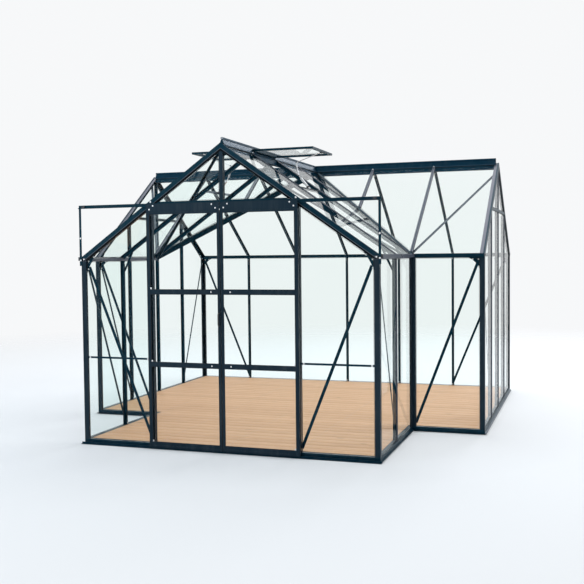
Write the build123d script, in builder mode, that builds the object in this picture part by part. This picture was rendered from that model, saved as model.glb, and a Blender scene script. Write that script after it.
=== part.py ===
"""A T-shaped glass greenhouse: a gabled front wing with two sliding doors, and a cross wing behind it.

Millimetres, +Z up. The origin is at ground level, in the middle of the building's footprint,
+X runs to the right along the front and +Y from the front to the rear.
"""
from build123d import *
import math
import os

os.makedirs("parts", exist_ok=True)

# Plan and heights
PANE_PITCH = 637.0
ROOF_PITCH = 35.0
EAVE_HEIGHT = 1581.0
SILL_HEIGHT = 40.0
SILL_INNER = 34.0
FIT = 0.3

WING_BAYS = 2
HALF_GABLE_BAYS = 2
HALF_MAIN_BAYS = 3

# Aluminium sections
WALL = 4.0
GLASS = 3.0
NOSE_WIDTH = 8.0
NOSE_HEIGHT = 9.0
FLANGE_WIDTH = 26.0
BAR_WEB = 4.0
BAR_CHANNEL_WIDTH = 16.0
BAR_CHANNEL_TOP = 22.0
BAR_DEPTH = 32.0
CORNER_FACE = 12.0
CORNER_LEG = 32.0
CORNER_LIP = 8.0
LEDGE = 3.0
INNER_LEG = 44.0
POST_WIDTH = 32.0
RAFTER_DEPTH = 45.0
RAFTER_INNER = 20.0
RAFTER_NOSE = 14.0
RAFTER_FLANGE = 20.0
RAFTER_TURN = 27.0
RAFTER_LEAN = 8.0
DRIP_REACH = 15.0
DRIP_THICKNESS = 3.0
DRIP_LEVEL = 10.0
DRIP_FALL = 4.0
STRIP_HEIGHT = 15.0
STRIP_WEB = 4.0
STRIP_FLANGE = 2.7
STRIP_LEVEL = 737.0
TIE_HEIGHT = 40.0
TIE_RISE = 409.0
SIDE_TIE_HEIGHT = 25.0

# Gutters at the eaves
GUTTER_BOX_WIDTH = 40.0
GUTTER_BOX_HEIGHT = 30.0
GUTTER_OUTER = 10.0
GUTTER_TROUGH = 32.0
GUTTER_LIP = 9.0
GUTTER_TROUGH_DROP = 21.0
GUTTER_WALL = 2.5
GUTTER_TOP_DROP = 6.0

# Ridges and valleys
RIDGE_HALF = 20.0
RIDGE_HEIGHT = 57.0
RIDGE_SKIRT = 56.0
RIDGE_LIP = 10.0
RIDGE_NECK = 40.0
NECK_HALF = 5.0
BEAD_HALF = 9.5
BEAD_BEVEL = 3.0
RIBS = 3
RIB_START = 5.5
RIB_STEP = 14.0
RIB_WIDTH = 5.0
RIB_PROUD = 2.0
RIB_BEVEL = 1.0
VALLEY_HALF = 16.0
VALLEY_DEPTH = 50.0
VALLEY_PROUD = 2.0
VALLEY_WEB = 5.0
VALLEY_FLANGE = 24.0
VALLEY_FLANGE_DEPTH = 6.0

# Straps, plates and stays
STRAP_WIDTH = 25.0
STRAP_THICKNESS = 3.0
BRACE_INSET = 52.0
BRACE_DROP = 45.0
BRACE_FOOT = 30.0
GUSSET_DROP = 105.0
GUSSET_REACH = 100.0
APEX_REACH = 40.0
APEX_DROP = 20.0
STAY_WIDTH = 18.0
STAY_SEAT = 27.0
STAY_DROP = 90.0
STAY_REACH = 110.0
ROOF_BRACE_HEAD = 110.0
ROOF_BRACE_FOOT = 60.0

# Sliding doors
DOOR_WIDTH = 650.0
DOOR_GAP = 5.0
DOOR_BACK = 22.0
DOOR_FRONT = 46.0
DOOR_FOOT = 12.0
DOOR_TOP_DROP = 48.0
DOOR_STILE = 30.0
MEETING_STILE = 23.0
DOOR_RAIL = 40.0
DOOR_BOTTOM_RAIL = 48.0
DOOR_TOP_RAIL = 16.0
LOWER_RAIL_LEVEL = 680.0
UPPER_RAIL_LEVEL = 1275.0
DOOR_FACE = 4.0
DOOR_LIP = 12.0
HEAD_HEIGHT = 70.0
HEAD_PROUD = 3.0
HEAD_LIP = 10.0
HEAD_SETBACK = 2.0
DOOR_TRAVEL = 600.0

# Track, wheels and handle
TRACK_OVERHANG = 26.0
TRACK_HEIGHT = 28.0
TRACK_WIDTH = 18.0
TRACK_WALL = 3.0
TRACK_LIP = 7.0
WHEEL_RADIUS = 11.0
WHEEL_WIDTH = 8.0
AXLE_RADIUS = 3.0
WHEEL_INSET = 60.0
STRUT_WIDTH = 20.0
STRUT_DROP = 35.0
WHEEL_SIDE_GAP = 2.0
GUIDE_LINE = 34.0
GUIDE_PLATE = 4.0
GUIDE_HEIGHT = 14.0
GUIDE_CLEARANCE = 5.5
GROOVE_DEPTH = 12.0
HANDLE_LENGTH = 110.0
HANDLE_REACH = 24.0
HANDLE_WIDTH = 12.0
HANDLE_BAR = 7.0
HANDLE_FOOT = 12.0
HANDLE_LEVEL = 1075.0

# Roof vents
VENT_SIDE_GAP = 22.0
VENT_LENGTH = 545.0
VENT_FRAME = 26.0
VENT_THICKNESS = 18.0
VENT_LEVEL = 11.0
VENT_LIP = 8.0
VENT_SILL_SLOPE = 545.0
VENT_SILL_DEPTH = 20.0
VENT_SILL_RISE = 6.0
OPENER_RADIUS = 11.0
OPENER_LENGTH = 174.0
OPENER_TURN = 16.7
OPENER_ARM = 8.0
OPENER_ELBOW_REACH = 314.0
OPENER_ELBOW_DROP = 69.0

# Floor
FLOOR_TOP = 42.0
FLOOR_GAP = 0.5

# Worked out from the sizes above
SLOPE = math.tan(math.radians(ROOF_PITCH))
COS = math.cos(math.radians(ROOF_PITCH))
SIN = math.sin(math.radians(ROOF_PITCH))
HALF_WING = HALF_GABLE_BAYS * PANE_PITCH
HALF_MAIN = HALF_MAIN_BAYS * PANE_PITCH
WING_DEPTH = WING_BAYS * PANE_PITCH
MAIN_DEPTH = 2 * HALF_WING
GLASS_APEX = EAVE_HEIGHT + HALF_WING * SLOPE
GUTTER_TOP = EAVE_HEIGHT - GUTTER_TOP_DROP
WALL_TOP = GUTTER_TOP - GUTTER_BOX_HEIGHT
TIE_LEVEL = EAVE_HEIGHT + TIE_RISE
DOOR_TOP = TIE_LEVEL - DOOR_TOP_DROP
TRACK_HALF_LENGTH = HALF_WING + TRACK_OVERHANG
GUTTER_INNER = GUTTER_BOX_WIDTH - GUTTER_OUTER
GUTTER_EDGE = GUTTER_OUTER + GUTTER_TROUGH
FRONT_REACH = DOOR_FRONT + HANDLE_REACH
BUILDING_DEPTH = WING_DEPTH + MAIN_DEPTH
Y_FRONT = -(BUILDING_DEPTH + FRONT_REACH + GUTTER_EDGE) / 2 + FRONT_REACH
Y_INNER = Y_FRONT + WING_DEPTH
Y_RIDGE = Y_INNER + HALF_WING
Y_REAR = Y_INNER + MAIN_DEPTH
SEAT = RIDGE_HALF + RIB_PROUD
BIG = 3 * HALF_MAIN

UP = Vector(0, 0, 1)
RIGHT = Vector(1, 0, 0)
LEFT = Vector(-1, 0, 0)
BACK = Vector(0, 1, 0)
FRONT = Vector(0, -1, 0)


def save(builder, name):
    """Label a finished piece and write its file."""
    builder.part.label = name
    export_step(builder.part, f"parts/{name}.step")


def outline(points, mode=Mode.ADD):
    """Face inside a closed run of straight lines, drawn in the sketch that is open."""
    with BuildLine() as edge:
        Polyline(*points, close=True)
    make_face(edge.edges(), mode=mode)


def section_plane(position, outward):
    """Level plane for a wall section: local y is the way the wall faces, and it extrudes up."""
    return Plane(origin=position, x_dir=outward.cross(UP), z_dir=UP)


def wall_plane(position, outward):
    """Upright plane of a wall: local x runs along it, local y is up, and it extrudes outwards."""
    return Plane(origin=position, x_dir=UP.cross(outward), z_dir=outward)


def fall(outward):
    """Direction straight down a roof slope that faces outward."""
    return outward * COS - UP * SIN


def face_of(outward):
    """Direction that a roof slope faces."""
    return outward * SIN + UP * COS


def run_plane(position, outward, offset=0.0):
    """Plane across a sloping bar: local y is away from the roof, and it extrudes down the slope."""
    along = face_of(outward).cross(fall(outward))
    return Plane(origin=position + fall(outward) * offset, x_dir=along, z_dir=fall(outward))


def slope_plane(position, outward, height=0.0):
    """Plane of a roof slope: local x runs down the slope, and it extrudes outwards."""
    return Plane(origin=position + face_of(outward) * height, x_dir=fall(outward), z_dir=face_of(outward))


def bar_points():
    """Glazing bar: a nose between the panes, the ledges they lie on, a web and a bolt channel."""
    right = [
        (NOSE_WIDTH / 2, NOSE_HEIGHT),
        (NOSE_WIDTH / 2, 0),
        (FLANGE_WIDTH / 2, 0),
        (FLANGE_WIDTH / 2, -LEDGE),
        (BAR_WEB / 2, -LEDGE),
        (BAR_WEB / 2, -BAR_CHANNEL_TOP),
        (BAR_CHANNEL_WIDTH / 2, -BAR_CHANNEL_TOP),
        (BAR_CHANNEL_WIDTH / 2, -BAR_DEPTH),
    ]
    return right + [(-x, y) for x, y in reversed(right)]


def post_points():
    """Door post: a channel that is open towards the inside."""
    half = POST_WIDTH / 2
    right = [(half, NOSE_HEIGHT), (half, -BAR_DEPTH), (half - WALL, -BAR_DEPTH), (half - WALL, NOSE_HEIGHT - WALL)]
    return right + [(-x, y) for x, y in reversed(right)]


def corner_points():
    """Corner post: two faces, each with a lip turned in beside its pane."""
    face, leg, lip = CORNER_FACE, CORNER_LEG, CORNER_LIP
    inside = face - WALL
    half = [(face, -leg), (-lip, -leg), (-lip, WALL - leg), (inside, WALL - leg)]
    return [(face, face)] + half + [(inside, inside)] + [(y, x) for x, y in reversed(half)]


def inner_corner_points():
    """Post in the angle between the wings: two faces that meet in an inward corner."""
    face, leg, lip = CORNER_FACE, INNER_LEG, CORNER_LIP
    inside = face - WALL
    half = [(face, -leg), (-lip, -leg), (-lip, WALL - leg), (inside, WALL - leg)]
    return [(face, -face)] + half + [(inside, -inside)] + [(-y, -x) for x, y in reversed(half)]


def rafter_points():
    """Gable rafter, its lower face leaning in: x is the way the gable faces, y is away from the roof."""
    face, deep, toe = CORNER_FACE, RAFTER_DEPTH, CORNER_FACE - RAFTER_LEAN
    return [
        (face, NOSE_HEIGHT),
        (face - RAFTER_NOSE, NOSE_HEIGHT),
        (face - RAFTER_NOSE, 0),
        (-RAFTER_INNER, 0),
        (-RAFTER_INNER, -WALL),
        (face - WALL, -WALL),
        (face - WALL, -RAFTER_TURN),
        (toe - WALL, WALL - deep),
        (face - RAFTER_FLANGE, WALL - deep),
        (face - RAFTER_FLANGE, -deep),
        (toe, -deep),
        (face, -RAFTER_TURN),
    ]


def sill_points(drip):
    """Ground sill: x is outwards, y is up. The drip sheds water clear of the ground."""
    face, inner, tall = CORNER_FACE, SILL_INNER, SILL_HEIGHT
    shed = [
        (face, DRIP_LEVEL),
        (face + drip, DRIP_LEVEL - DRIP_FALL),
        (face + drip, DRIP_LEVEL - DRIP_FALL + DRIP_THICKNESS),
        (face, DRIP_LEVEL + DRIP_THICKNESS),
    ]
    outer = [(face, 0)] + (shed if drip else []) + [(face, tall)]
    return [(-inner, 0)] + outer + [
        (-inner, tall),
        (-inner, tall - WALL),
        (face - WALL, tall - WALL),
        (face - WALL, WALL),
        (-inner, WALL),
    ]


def gutter_points():
    """Eave gutter: a trough outside the box that carries the roof bars; x is outwards, y is up."""
    top, edge, thin = GUTTER_TOP, GUTTER_EDGE, GUTTER_WALL
    floor = top - GUTTER_TROUGH_DROP
    return [
        (-GUTTER_INNER, top),
        (GUTTER_OUTER, top),
        (GUTTER_OUTER, floor + thin),
        (edge - thin, floor + thin),
        (edge - thin, top + GUTTER_LIP),
        (edge, top + GUTTER_LIP),
        (edge, floor),
        (GUTTER_OUTER, floor),
        (GUTTER_OUTER, WALL_TOP),
        (-GUTTER_INNER, WALL_TOP),
    ]


def gutter_hollow():
    """Space inside the gutter's box."""
    thin = GUTTER_WALL
    return [
        (thin - GUTTER_INNER, WALL_TOP + thin),
        (GUTTER_OUTER - thin, WALL_TOP + thin),
        (GUTTER_OUTER - thin, GUTTER_TOP - thin),
        (thin - GUTTER_INNER, GUTTER_TOP - thin),
    ]


def over_nose(distance):
    """Height, from the meeting line of the panes, just above a roof bar's nose at this plan distance."""
    return NOSE_HEIGHT / COS - distance * SLOPE + FIT


def ridge_side():
    """Foot and neck of the ridge's leaning side, from the meeting line of the panes."""
    return Vector(RIDGE_HALF, over_nose(SEAT) + LEDGE + RIB_PROUD), Vector(NECK_HALF, RIDGE_NECK)


def ridge_points():
    """Ridge: two leaning ribbed sides, open below, with a lip over the bars and a bead along the top."""
    tip, inside = SEAT + RIDGE_LIP, RIDGE_HALF - WALL
    foot, neck = ridge_side()
    along = (neck - foot).normalized()
    proud = Vector(along.Y, -along.X) * RIB_PROUD
    lip = [(SEAT, over_nose(SEAT)), (tip, over_nose(tip)), (tip, over_nose(tip) + LEDGE), (foot.X, foot.Y)]
    ribs = []
    for index in range(RIBS):
        low = foot + along * (RIB_START + index * RIB_STEP)
        high = low + along * RIB_WIDTH
        corners = (low, low + along * RIB_BEVEL + proud, high - along * RIB_BEVEL + proud, high)
        ribs += [(corner.X, corner.Y) for corner in corners]
    bead = [
        (neck.X, neck.Y),
        (BEAD_HALF, RIDGE_NECK + BEAD_BEVEL),
        (BEAD_HALF, RIDGE_HEIGHT - BEAD_BEVEL),
        (BEAD_HALF - BEAD_BEVEL, RIDGE_HEIGHT),
    ]
    right = [(SEAT - WALL, -RIDGE_SKIRT), (SEAT, -RIDGE_SKIRT)] + lip + ribs + bead
    hollow = [(-inside, foot.Y), (0, RIDGE_NECK), (inside, foot.Y)]
    return right + [(-x, y) for x, y in reversed(right)] + hollow


def valley_points():
    """Valley bar: a shallow V on a web, with a flange below."""
    rise = VALLEY_HALF * SLOPE / math.sqrt(2)
    right = [
        (0, VALLEY_PROUD),
        (VALLEY_HALF, rise + VALLEY_PROUD),
        (VALLEY_HALF, rise - WALL),
        (VALLEY_WEB / 2, -WALL),
        (VALLEY_WEB / 2, VALLEY_FLANGE_DEPTH - VALLEY_DEPTH),
        (VALLEY_FLANGE / 2, VALLEY_FLANGE_DEPTH - VALLEY_DEPTH),
        (VALLEY_FLANGE / 2, -VALLEY_DEPTH),
    ]
    return right + [(-x, y) for x, y in reversed(right[1:])]


def track_points():
    """Door track: a J that the wheels run in; x is outwards, y is up."""
    back, high, low = CORNER_FACE, TIE_LEVEL + TRACK_HEIGHT, TIE_LEVEL
    front = back + TRACK_WIDTH
    return [
        (back, low),
        (front, low),
        (front, low + TRACK_LIP),
        (front - TRACK_WALL, low + TRACK_LIP),
        (front - TRACK_WALL, low + TRACK_WALL),
        (back + TRACK_WALL, low + TRACK_WALL),
        (back + TRACK_WALL, high),
        (back, high),
    ]


def guide_points():
    """Bottom track: a plate with an upstand that the door leaves straddle; x is outwards, y is up."""
    back, front, half = CORNER_FACE, DOOR_FRONT + WALL, GUIDE_PLATE / 2
    return [
        (back, 0),
        (front, 0),
        (front, WALL),
        (GUIDE_LINE + half, WALL),
        (GUIDE_LINE + half, WALL + GUIDE_HEIGHT),
        (GUIDE_LINE - half, WALL + GUIDE_HEIGHT),
        (GUIDE_LINE - half, WALL),
        (back, WALL),
    ]


def head_points():
    """Door head: a plate that hangs in front of the track on a flange; x is outwards, y is up."""
    back, front, low, high = DOOR_BACK + HEAD_SETBACK, DOOR_FRONT + HEAD_PROUD, DOOR_TOP, DOOR_TOP + HEAD_HEIGHT
    return [
        (back, low),
        (front, low),
        (front, high),
        (front - HEAD_LIP, high),
        (front - HEAD_LIP, high - LEDGE),
        (front - WALL, high - LEDGE),
        (front - WALL, low + WALL),
        (back, low + WALL),
    ]


def vent_sill_points():
    """Sill bar under an open vent: x is down the slope, y is away from the roof."""
    back, front = VENT_SILL_SLOPE - WALL, VENT_SILL_SLOPE
    ledge = front + DRIP_REACH
    return [
        (back, -VENT_SILL_DEPTH),
        (front, -VENT_SILL_DEPTH),
        (front, -LEDGE),
        (ledge, -LEDGE),
        (ledge, 0),
        (front, 0),
        (front, VENT_SILL_RISE),
        (back, VENT_SILL_RISE),
    ]


def rectangles(areas, grow=0.0):
    """Rectangles in the sketch that is open, each from x to x and y to y, larger all round by grow."""
    for start, end, low, high in areas:
        with Locations(((start + end) / 2, (low + high) / 2)):
            Rectangle(end - start + 2 * grow, high - low + 2 * grow)


def rafter_underside(distance):
    """Height of a rafter's lower face at this distance from the gable's middle."""
    return GLASS_APEX - distance * SLOPE - RAFTER_DEPTH / COS


def between(points_a, points_b, width):
    """Corners of a straight strap of this width from one point to another."""
    a, b = Vector(*points_a), Vector(*points_b)
    side = (b - a).normalized().rotate(Axis.Z, 90) * (width / 2)
    return [tuple(point)[:2] for point in (a + side, a - side, b - side, b + side)]


def trim_under_rafters(middle, facing, clearance=0.0):
    """Cut what stands in a gable wall to the lower faces of the two rafters above it."""
    for outward in (facing.cross(UP), UP.cross(facing)):
        plane = slope_plane(middle + UP * GLASS_APEX, outward, -RAFTER_DEPTH - clearance)
        split(bisect_by=plane, keep=Keep.BOTTOM)


def wall_bars(places, outward, top=WALL_TOP):
    """Stand a glazing bar on the sill at each place of a wall that faces outward."""
    for place in places:
        with BuildSketch(section_plane(place + UP * SILL_HEIGHT, outward)) as section:
            outline(bar_points())
        extrude(section.sketch, amount=top - SILL_HEIGHT)


def wall_panes(position, outward, panes):
    """Panes of a wall, each given by its two ends along the wall and its foot and head."""
    with BuildSketch(wall_plane(position, outward)) as pane:
        rectangles(panes, -FIT)
    extrude(pane.sketch, amount=GLASS)


def sloped(points, position, outward, facing=None):
    """Run a bar's outline from the ridge down a roof slope that faces outward."""
    plane = run_plane(position, outward, -2 * RAFTER_DEPTH)
    sense = 1 if facing is None or plane.x_dir.dot(facing) > 0 else -1
    with BuildSketch(plane) as section:
        outline([(sense * x, y) for x, y in points])
    extrude(section.sketch, amount=(HALF_WING + CORNER_FACE) / COS + 4 * RAFTER_DEPTH)


def cut_at_eave(eave, outward):
    """Notch sloping bars over the gutter's box and end them at the wall's face."""
    split(bisect_by=Plane(origin=eave + outward * CORNER_FACE, z_dir=outward), keep=Keep.BOTTOM)
    with BuildSketch(wall_plane(eave - outward * GUTTER_INNER, outward)) as below:
        with Locations((0, GUTTER_TOP / 2)):
            Rectangle(BIG, GUTTER_TOP)
    extrude(below.sketch, amount=2 * GUTTER_BOX_WIDTH, mode=Mode.SUBTRACT)


def keep_behind(origin, outward):
    """Keep what lies on the inner side of an upright plane that faces outward."""
    split(bisect_by=Plane(origin=origin, z_dir=outward), keep=Keep.BOTTOM)


def slope_panes(position, outward, panes):
    """Panes of a roof slope: two ends along the eave, then two distances from the ridge line, in plan."""
    plane = slope_plane(position, outward)
    for start, end, upper, lower in panes:
        with BuildSketch(plane) as pane:
            with Locations(((upper + lower) / 2 / COS, (start + end) / 2)):
                Rectangle((lower - upper) / COS, end - start - 2 * FIT)
        extrude(pane.sketch, amount=GLASS)


def strap(position, outward, start, end, region, width=STRAP_WIDTH, inner=CORNER_LIP + STRAP_THICKNESS):
    """Flat strap inside a wall, from start to end, cut to region: two corners in the wall's own plane."""
    (low_x, low_y), (high_x, high_y) = region
    plane = wall_plane(position - outward * (inner + STRAP_THICKNESS), outward)
    with BuildSketch(plane) as flat:
        outline(between(start, end, width))
        with Locations(((low_x + high_x) / 2, (low_y + high_y) / 2)):
            Rectangle(high_x - low_x, high_y - low_y, mode=Mode.INTERSECT)
    extrude(flat.sketch, amount=STRAP_THICKNESS)


def gusset(position, outward, corner, along, down):
    """Corner plate with a hollowed edge: corner, then its reach along the wall and down the post."""
    plane = wall_plane(position - outward * (CORNER_LIP + STRAP_THICKNESS), outward)
    tip, foot = (corner[0] + along[0], corner[1] + along[1]), (corner[0] + down[0], corner[1] + down[1])
    middle = ((tip[0] + foot[0]) / 2, (tip[1] + foot[1]) / 2)
    hollow = (middle[0] + (corner[0] - middle[0]) / 5, middle[1] + (corner[1] - middle[1]) / 5)
    with BuildSketch(plane) as plate:
        with BuildLine():
            Line(corner, tip)
            ThreePointArc(tip, hollow, foot)
            Line(foot, corner)
        make_face()
    extrude(plate.sketch, amount=STRAP_THICKNESS)


# Where the walls stand
front_right = Vector(HALF_WING, Y_FRONT, 0)
inner_right = Vector(HALF_WING, Y_INNER, 0)
end_front = Vector(HALF_MAIN, Y_INNER, 0)
end_rear = Vector(HALF_MAIN, Y_REAR, 0)
gable_middle = Vector(0, Y_FRONT, 0)
right_gable_middle = Vector(HALF_MAIN, Y_RIDGE, 0)
rear_middle = Vector(0, Y_REAR, 0)
wing_apex = Vector(0, Y_FRONT, GLASS_APEX)
main_apex = Vector(0, Y_RIDGE, GLASS_APEX)

def wall_run(points, middle, outward, half, leans, hollow=None):
    """Profile run along a wall, x outwards. Each end is square (0) or mitred for an outer (-1) or inner (1) corner."""
    along = outward.cross(UP)
    with BuildPart() as run:
        with BuildSketch(Plane(origin=middle, x_dir=outward, z_dir=along)):
            outline(points)
            if hollow:
                outline(hollow, Mode.SUBTRACT)
        extrude(amount=half + 4 * CORNER_LEG, both=True)
        for end, lean in ((along, leans[0]), (along * -1, leans[1])):
            stop = middle + end * (half if lean else half + CORNER_FACE)
            split(bisect_by=Plane(origin=stop, z_dir=end + outward * lean), keep=Keep.BOTTOM)
    return run.part


def tie_points(height):
    """Tie between two rafters: a channel open towards the inside; x is outwards, y is up."""
    face, lip, low, high = CORNER_FACE, CORNER_LIP, TIE_LEVEL, TIE_LEVEL + height
    return [
        (face, low),
        (face, high),
        (-lip, high),
        (-lip, high - WALL),
        (face - WALL, high - WALL),
        (face - WALL, low + WALL),
        (-lip, low + WALL),
        (-lip, low),
    ]


def both_sides(piece):
    """Add a piece of the right-hand side and its twin on the left."""
    add(piece)
    mirror(piece, about=Plane.YZ)


wing_middle = (front_right + inner_right) * 0.5
shoulder_middle = (inner_right + end_front) * 0.5
shoulder_half = (HALF_MAIN - HALF_WING) / 2
valley_normal = Vector(1, 1, 0)
valley_inside = inner_right - valley_normal.normalized() * VALLEY_HALF
valley_outside = inner_right + valley_normal.normalized() * VALLEY_HALF
glass_end = HALF_WING + GUTTER_TOP_DROP / SLOPE - FIT
nose = NOSE_WIDTH / 2
rafter_edge = RAFTER_NOSE - CORNER_FACE

# Ground sills
front_sill = wall_run(sill_points(0), gable_middle, FRONT, HALF_WING, (-1, -1))
wing_sill = wall_run(sill_points(DRIP_REACH), wing_middle, RIGHT, WING_DEPTH / 2, (-1, 1))
shoulder_sill = wall_run(sill_points(DRIP_REACH), shoulder_middle, FRONT, shoulder_half, (1, -1))
gable_sill = wall_run(sill_points(DRIP_REACH), right_gable_middle, RIGHT, HALF_WING, (-1, -1))
rear_sill = wall_run(sill_points(DRIP_REACH), rear_middle, BACK, HALF_MAIN, (-1, -1))

with BuildPart() as door_sill:
    add(front_sill)
save(door_sill, "door_sill")

with BuildPart() as side_sills:
    both_sides(wing_sill)
    both_sides(gable_sill)
save(side_sills, "side_sills")

with BuildPart() as cross_sills:
    both_sides(shoulder_sill)
    add(rear_sill)
save(cross_sills, "cross_sills")

# Posts at the corners
with BuildPart() as corner_posts:
    for corner, sense in ((front_right, -1), (end_front, -1), (end_rear, 1)):
        with BuildSketch(Plane(origin=corner + UP * SILL_HEIGHT)):
            outline([(x, sense * y) for x, y in corner_points()])
        extrude(amount=WALL_TOP - SILL_HEIGHT)
    with BuildSketch(Plane(origin=inner_right + UP * SILL_HEIGHT)):
        outline(inner_corner_points())
    extrude(amount=WALL_TOP - SILL_HEIGHT)
    mirror(about=Plane.YZ)
save(corner_posts, "corner_posts")

# Posts and bars in the walls
with BuildPart() as front_posts:
    for place, foot in ((PANE_PITCH, SILL_HEIGHT), (-PANE_PITCH, SILL_HEIGHT), (0, TIE_LEVEL + TIE_HEIGHT)):
        with BuildSketch(section_plane(gable_middle + RIGHT * place + UP * foot, FRONT)):
            outline(post_points())
        extrude(amount=GLASS_APEX)
    trim_under_rafters(gable_middle, FRONT)
save(front_posts, "front_posts")

with BuildPart() as wing_wall_bars:
    wall_bars([front_right + BACK * PANE_PITCH * (bay + 1) for bay in range(WING_BAYS - 1)], RIGHT)
    mirror(about=Plane.YZ)
save(wing_wall_bars, "wing_wall_bars")

gable_places = [PANE_PITCH * bay for bay in range(1 - HALF_GABLE_BAYS, HALF_GABLE_BAYS)]
with BuildPart() as side_gable_bars:
    wall_bars([right_gable_middle + BACK * place for place in gable_places], RIGHT, GLASS_APEX)
    trim_under_rafters(right_gable_middle, RIGHT)
    mirror(about=Plane.YZ)
save(side_gable_bars, "side_gable_bars")

rear_places = [PANE_PITCH * bay for bay in range(1 - HALF_MAIN_BAYS, HALF_MAIN_BAYS)]
with BuildPart() as rear_wall_bars:
    wall_bars([rear_middle + RIGHT * place for place in rear_places], BACK)
save(rear_wall_bars, "rear_wall_bars")

# Gable rafters, mitred where they meet
with BuildPart() as front_rafters:
    sloped(rafter_points(), wing_apex, RIGHT, FRONT)
    keep_behind(wing_apex + RIGHT * FIT / 2, LEFT)
    cut_at_eave(front_right, RIGHT)
    mirror(about=Plane.YZ)
save(front_rafters, "front_rafters")

with BuildPart() as side_gable_rafters:
    sloped(rafter_points(), main_apex + RIGHT * HALF_MAIN, FRONT, RIGHT)
    keep_behind(main_apex + FRONT * FIT / 2, BACK)
    cut_at_eave(end_front, FRONT)
    mirror(about=Plane(origin=main_apex, z_dir=BACK))
    mirror(about=Plane.YZ)
save(side_gable_rafters, "side_gable_rafters")

door_tie = wall_run(tie_points(TIE_HEIGHT), gable_middle, FRONT, PANE_PITCH, (0, 0))
side_tie = wall_run(tie_points(SIDE_TIE_HEIGHT), right_gable_middle, RIGHT, PANE_PITCH, (0, 0))

with BuildPart() as side_ties:
    add(side_tie)
    with Locations(right_gable_middle + UP * TIE_LEVEL):
        Box(4 * CORNER_LEG, FLANGE_WIDTH, 4 * SIDE_TIE_HEIGHT, mode=Mode.SUBTRACT)
    trim_under_rafters(right_gable_middle, RIGHT)
    mirror(about=Plane.YZ)

with BuildPart() as gable_ties:
    add(door_tie)
    trim_under_rafters(gable_middle, FRONT)
    add(side_ties.part)
save(gable_ties, "gable_ties")

# Gutters
wing_gutter = wall_run(gutter_points(), wing_middle, RIGHT, WING_DEPTH / 2, (0, 1), gutter_hollow())
shoulder_gutter = wall_run(gutter_points(), shoulder_middle, FRONT, shoulder_half, (1, 0), gutter_hollow())
rear_gutter = wall_run(gutter_points(), rear_middle, BACK, HALF_MAIN, (0, 0), gutter_hollow())

with BuildPart() as wing_gutters:
    both_sides(wing_gutter)
save(wing_gutters, "wing_gutters")

with BuildPart() as main_gutters:
    both_sides(shoulder_gutter)
    add(rear_gutter)
save(main_gutters, "main_gutters")

# Ridges; the main one is coped where the wing's ridge lands on it
with BuildPart() as main_ridge:
    with BuildSketch(Plane(origin=main_apex, x_dir=BACK, z_dir=RIGHT)):
        outline(ridge_points())
    extrude(amount=HALF_MAIN - RAFTER_INNER, both=True)
    with Locations(main_apex + FRONT * (SEAT + RIDGE_LIP)):
        Box(2 * (SEAT + RIDGE_LIP + FIT), 2 * RIDGE_LIP, 2 * RIDGE_SKIRT, mode=Mode.SUBTRACT)
save(main_ridge, "main_ridge")

with BuildPart() as wing_ridge:
    with BuildSketch(Plane(origin=wing_apex + BACK * RAFTER_INNER, x_dir=LEFT, z_dir=BACK)):
        outline(ridge_points())
    extrude(amount=WING_DEPTH + HALF_WING - RAFTER_INNER - SEAT)
save(wing_ridge, "wing_ridge")

# Valleys between the two roofs
with BuildPart() as valley_bars:
    valley_run = Vector(1, -1, 0).normalized()
    with BuildSketch(Plane(origin=main_apex, x_dir=UP.cross(valley_run), z_dir=valley_run)):
        outline(valley_points())
    plan_length = (HALF_WING + CORNER_FACE) * math.sqrt(2)
    drop = plan_length * SLOPE / math.sqrt(2)
    extrude(amount=math.hypot(plan_length, drop), dir=valley_run * plan_length - UP * drop)
    keep_behind(RIGHT * SEAT, LEFT)
    keep_behind(main_apex + FRONT * SEAT, BACK)
    keep_behind(front_right + RIGHT * CORNER_FACE, RIGHT)
    keep_behind(inner_right + FRONT * CORNER_FACE, FRONT)
    notch = GUTTER_INNER + 2 * CORNER_FACE
    with Locations(inner_right + (RIGHT + FRONT) * (notch / 2 - GUTTER_INNER) + UP * GUTTER_TOP / 2):
        Box(notch, notch, GUTTER_TOP, mode=Mode.SUBTRACT)
    mirror(about=Plane.YZ)
save(valley_bars, "valley_bars")

# Roof bars
with BuildPart() as wing_roof_bars:
    for bay in range(1, WING_BAYS + HALF_GABLE_BAYS):
        sloped(bar_points(), wing_apex + BACK * PANE_PITCH * bay, RIGHT)
    keep_behind(RIGHT * SEAT, LEFT)
    keep_behind(valley_inside, valley_normal)
    cut_at_eave(front_right, RIGHT)
    mirror(about=Plane.YZ)
save(wing_roof_bars, "wing_roof_bars")

with BuildPart() as front_slope_bars:
    for bay in range(1, HALF_MAIN_BAYS):
        sloped(bar_points(), main_apex + RIGHT * PANE_PITCH * bay, FRONT)
    keep_behind(main_apex + FRONT * SEAT, BACK)
    keep_behind(valley_outside, valley_normal * -1)
    cut_at_eave(end_front, FRONT)
    mirror(about=Plane.YZ)
save(front_slope_bars, "front_slope_bars")

with BuildPart() as rear_slope_bars:
    for place in rear_places:
        sloped(bar_points(), main_apex + RIGHT * place, BACK)
    keep_behind(main_apex + BACK * SEAT, FRONT)
    cut_at_eave(rear_middle, BACK)
save(rear_slope_bars, "rear_slope_bars")

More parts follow.
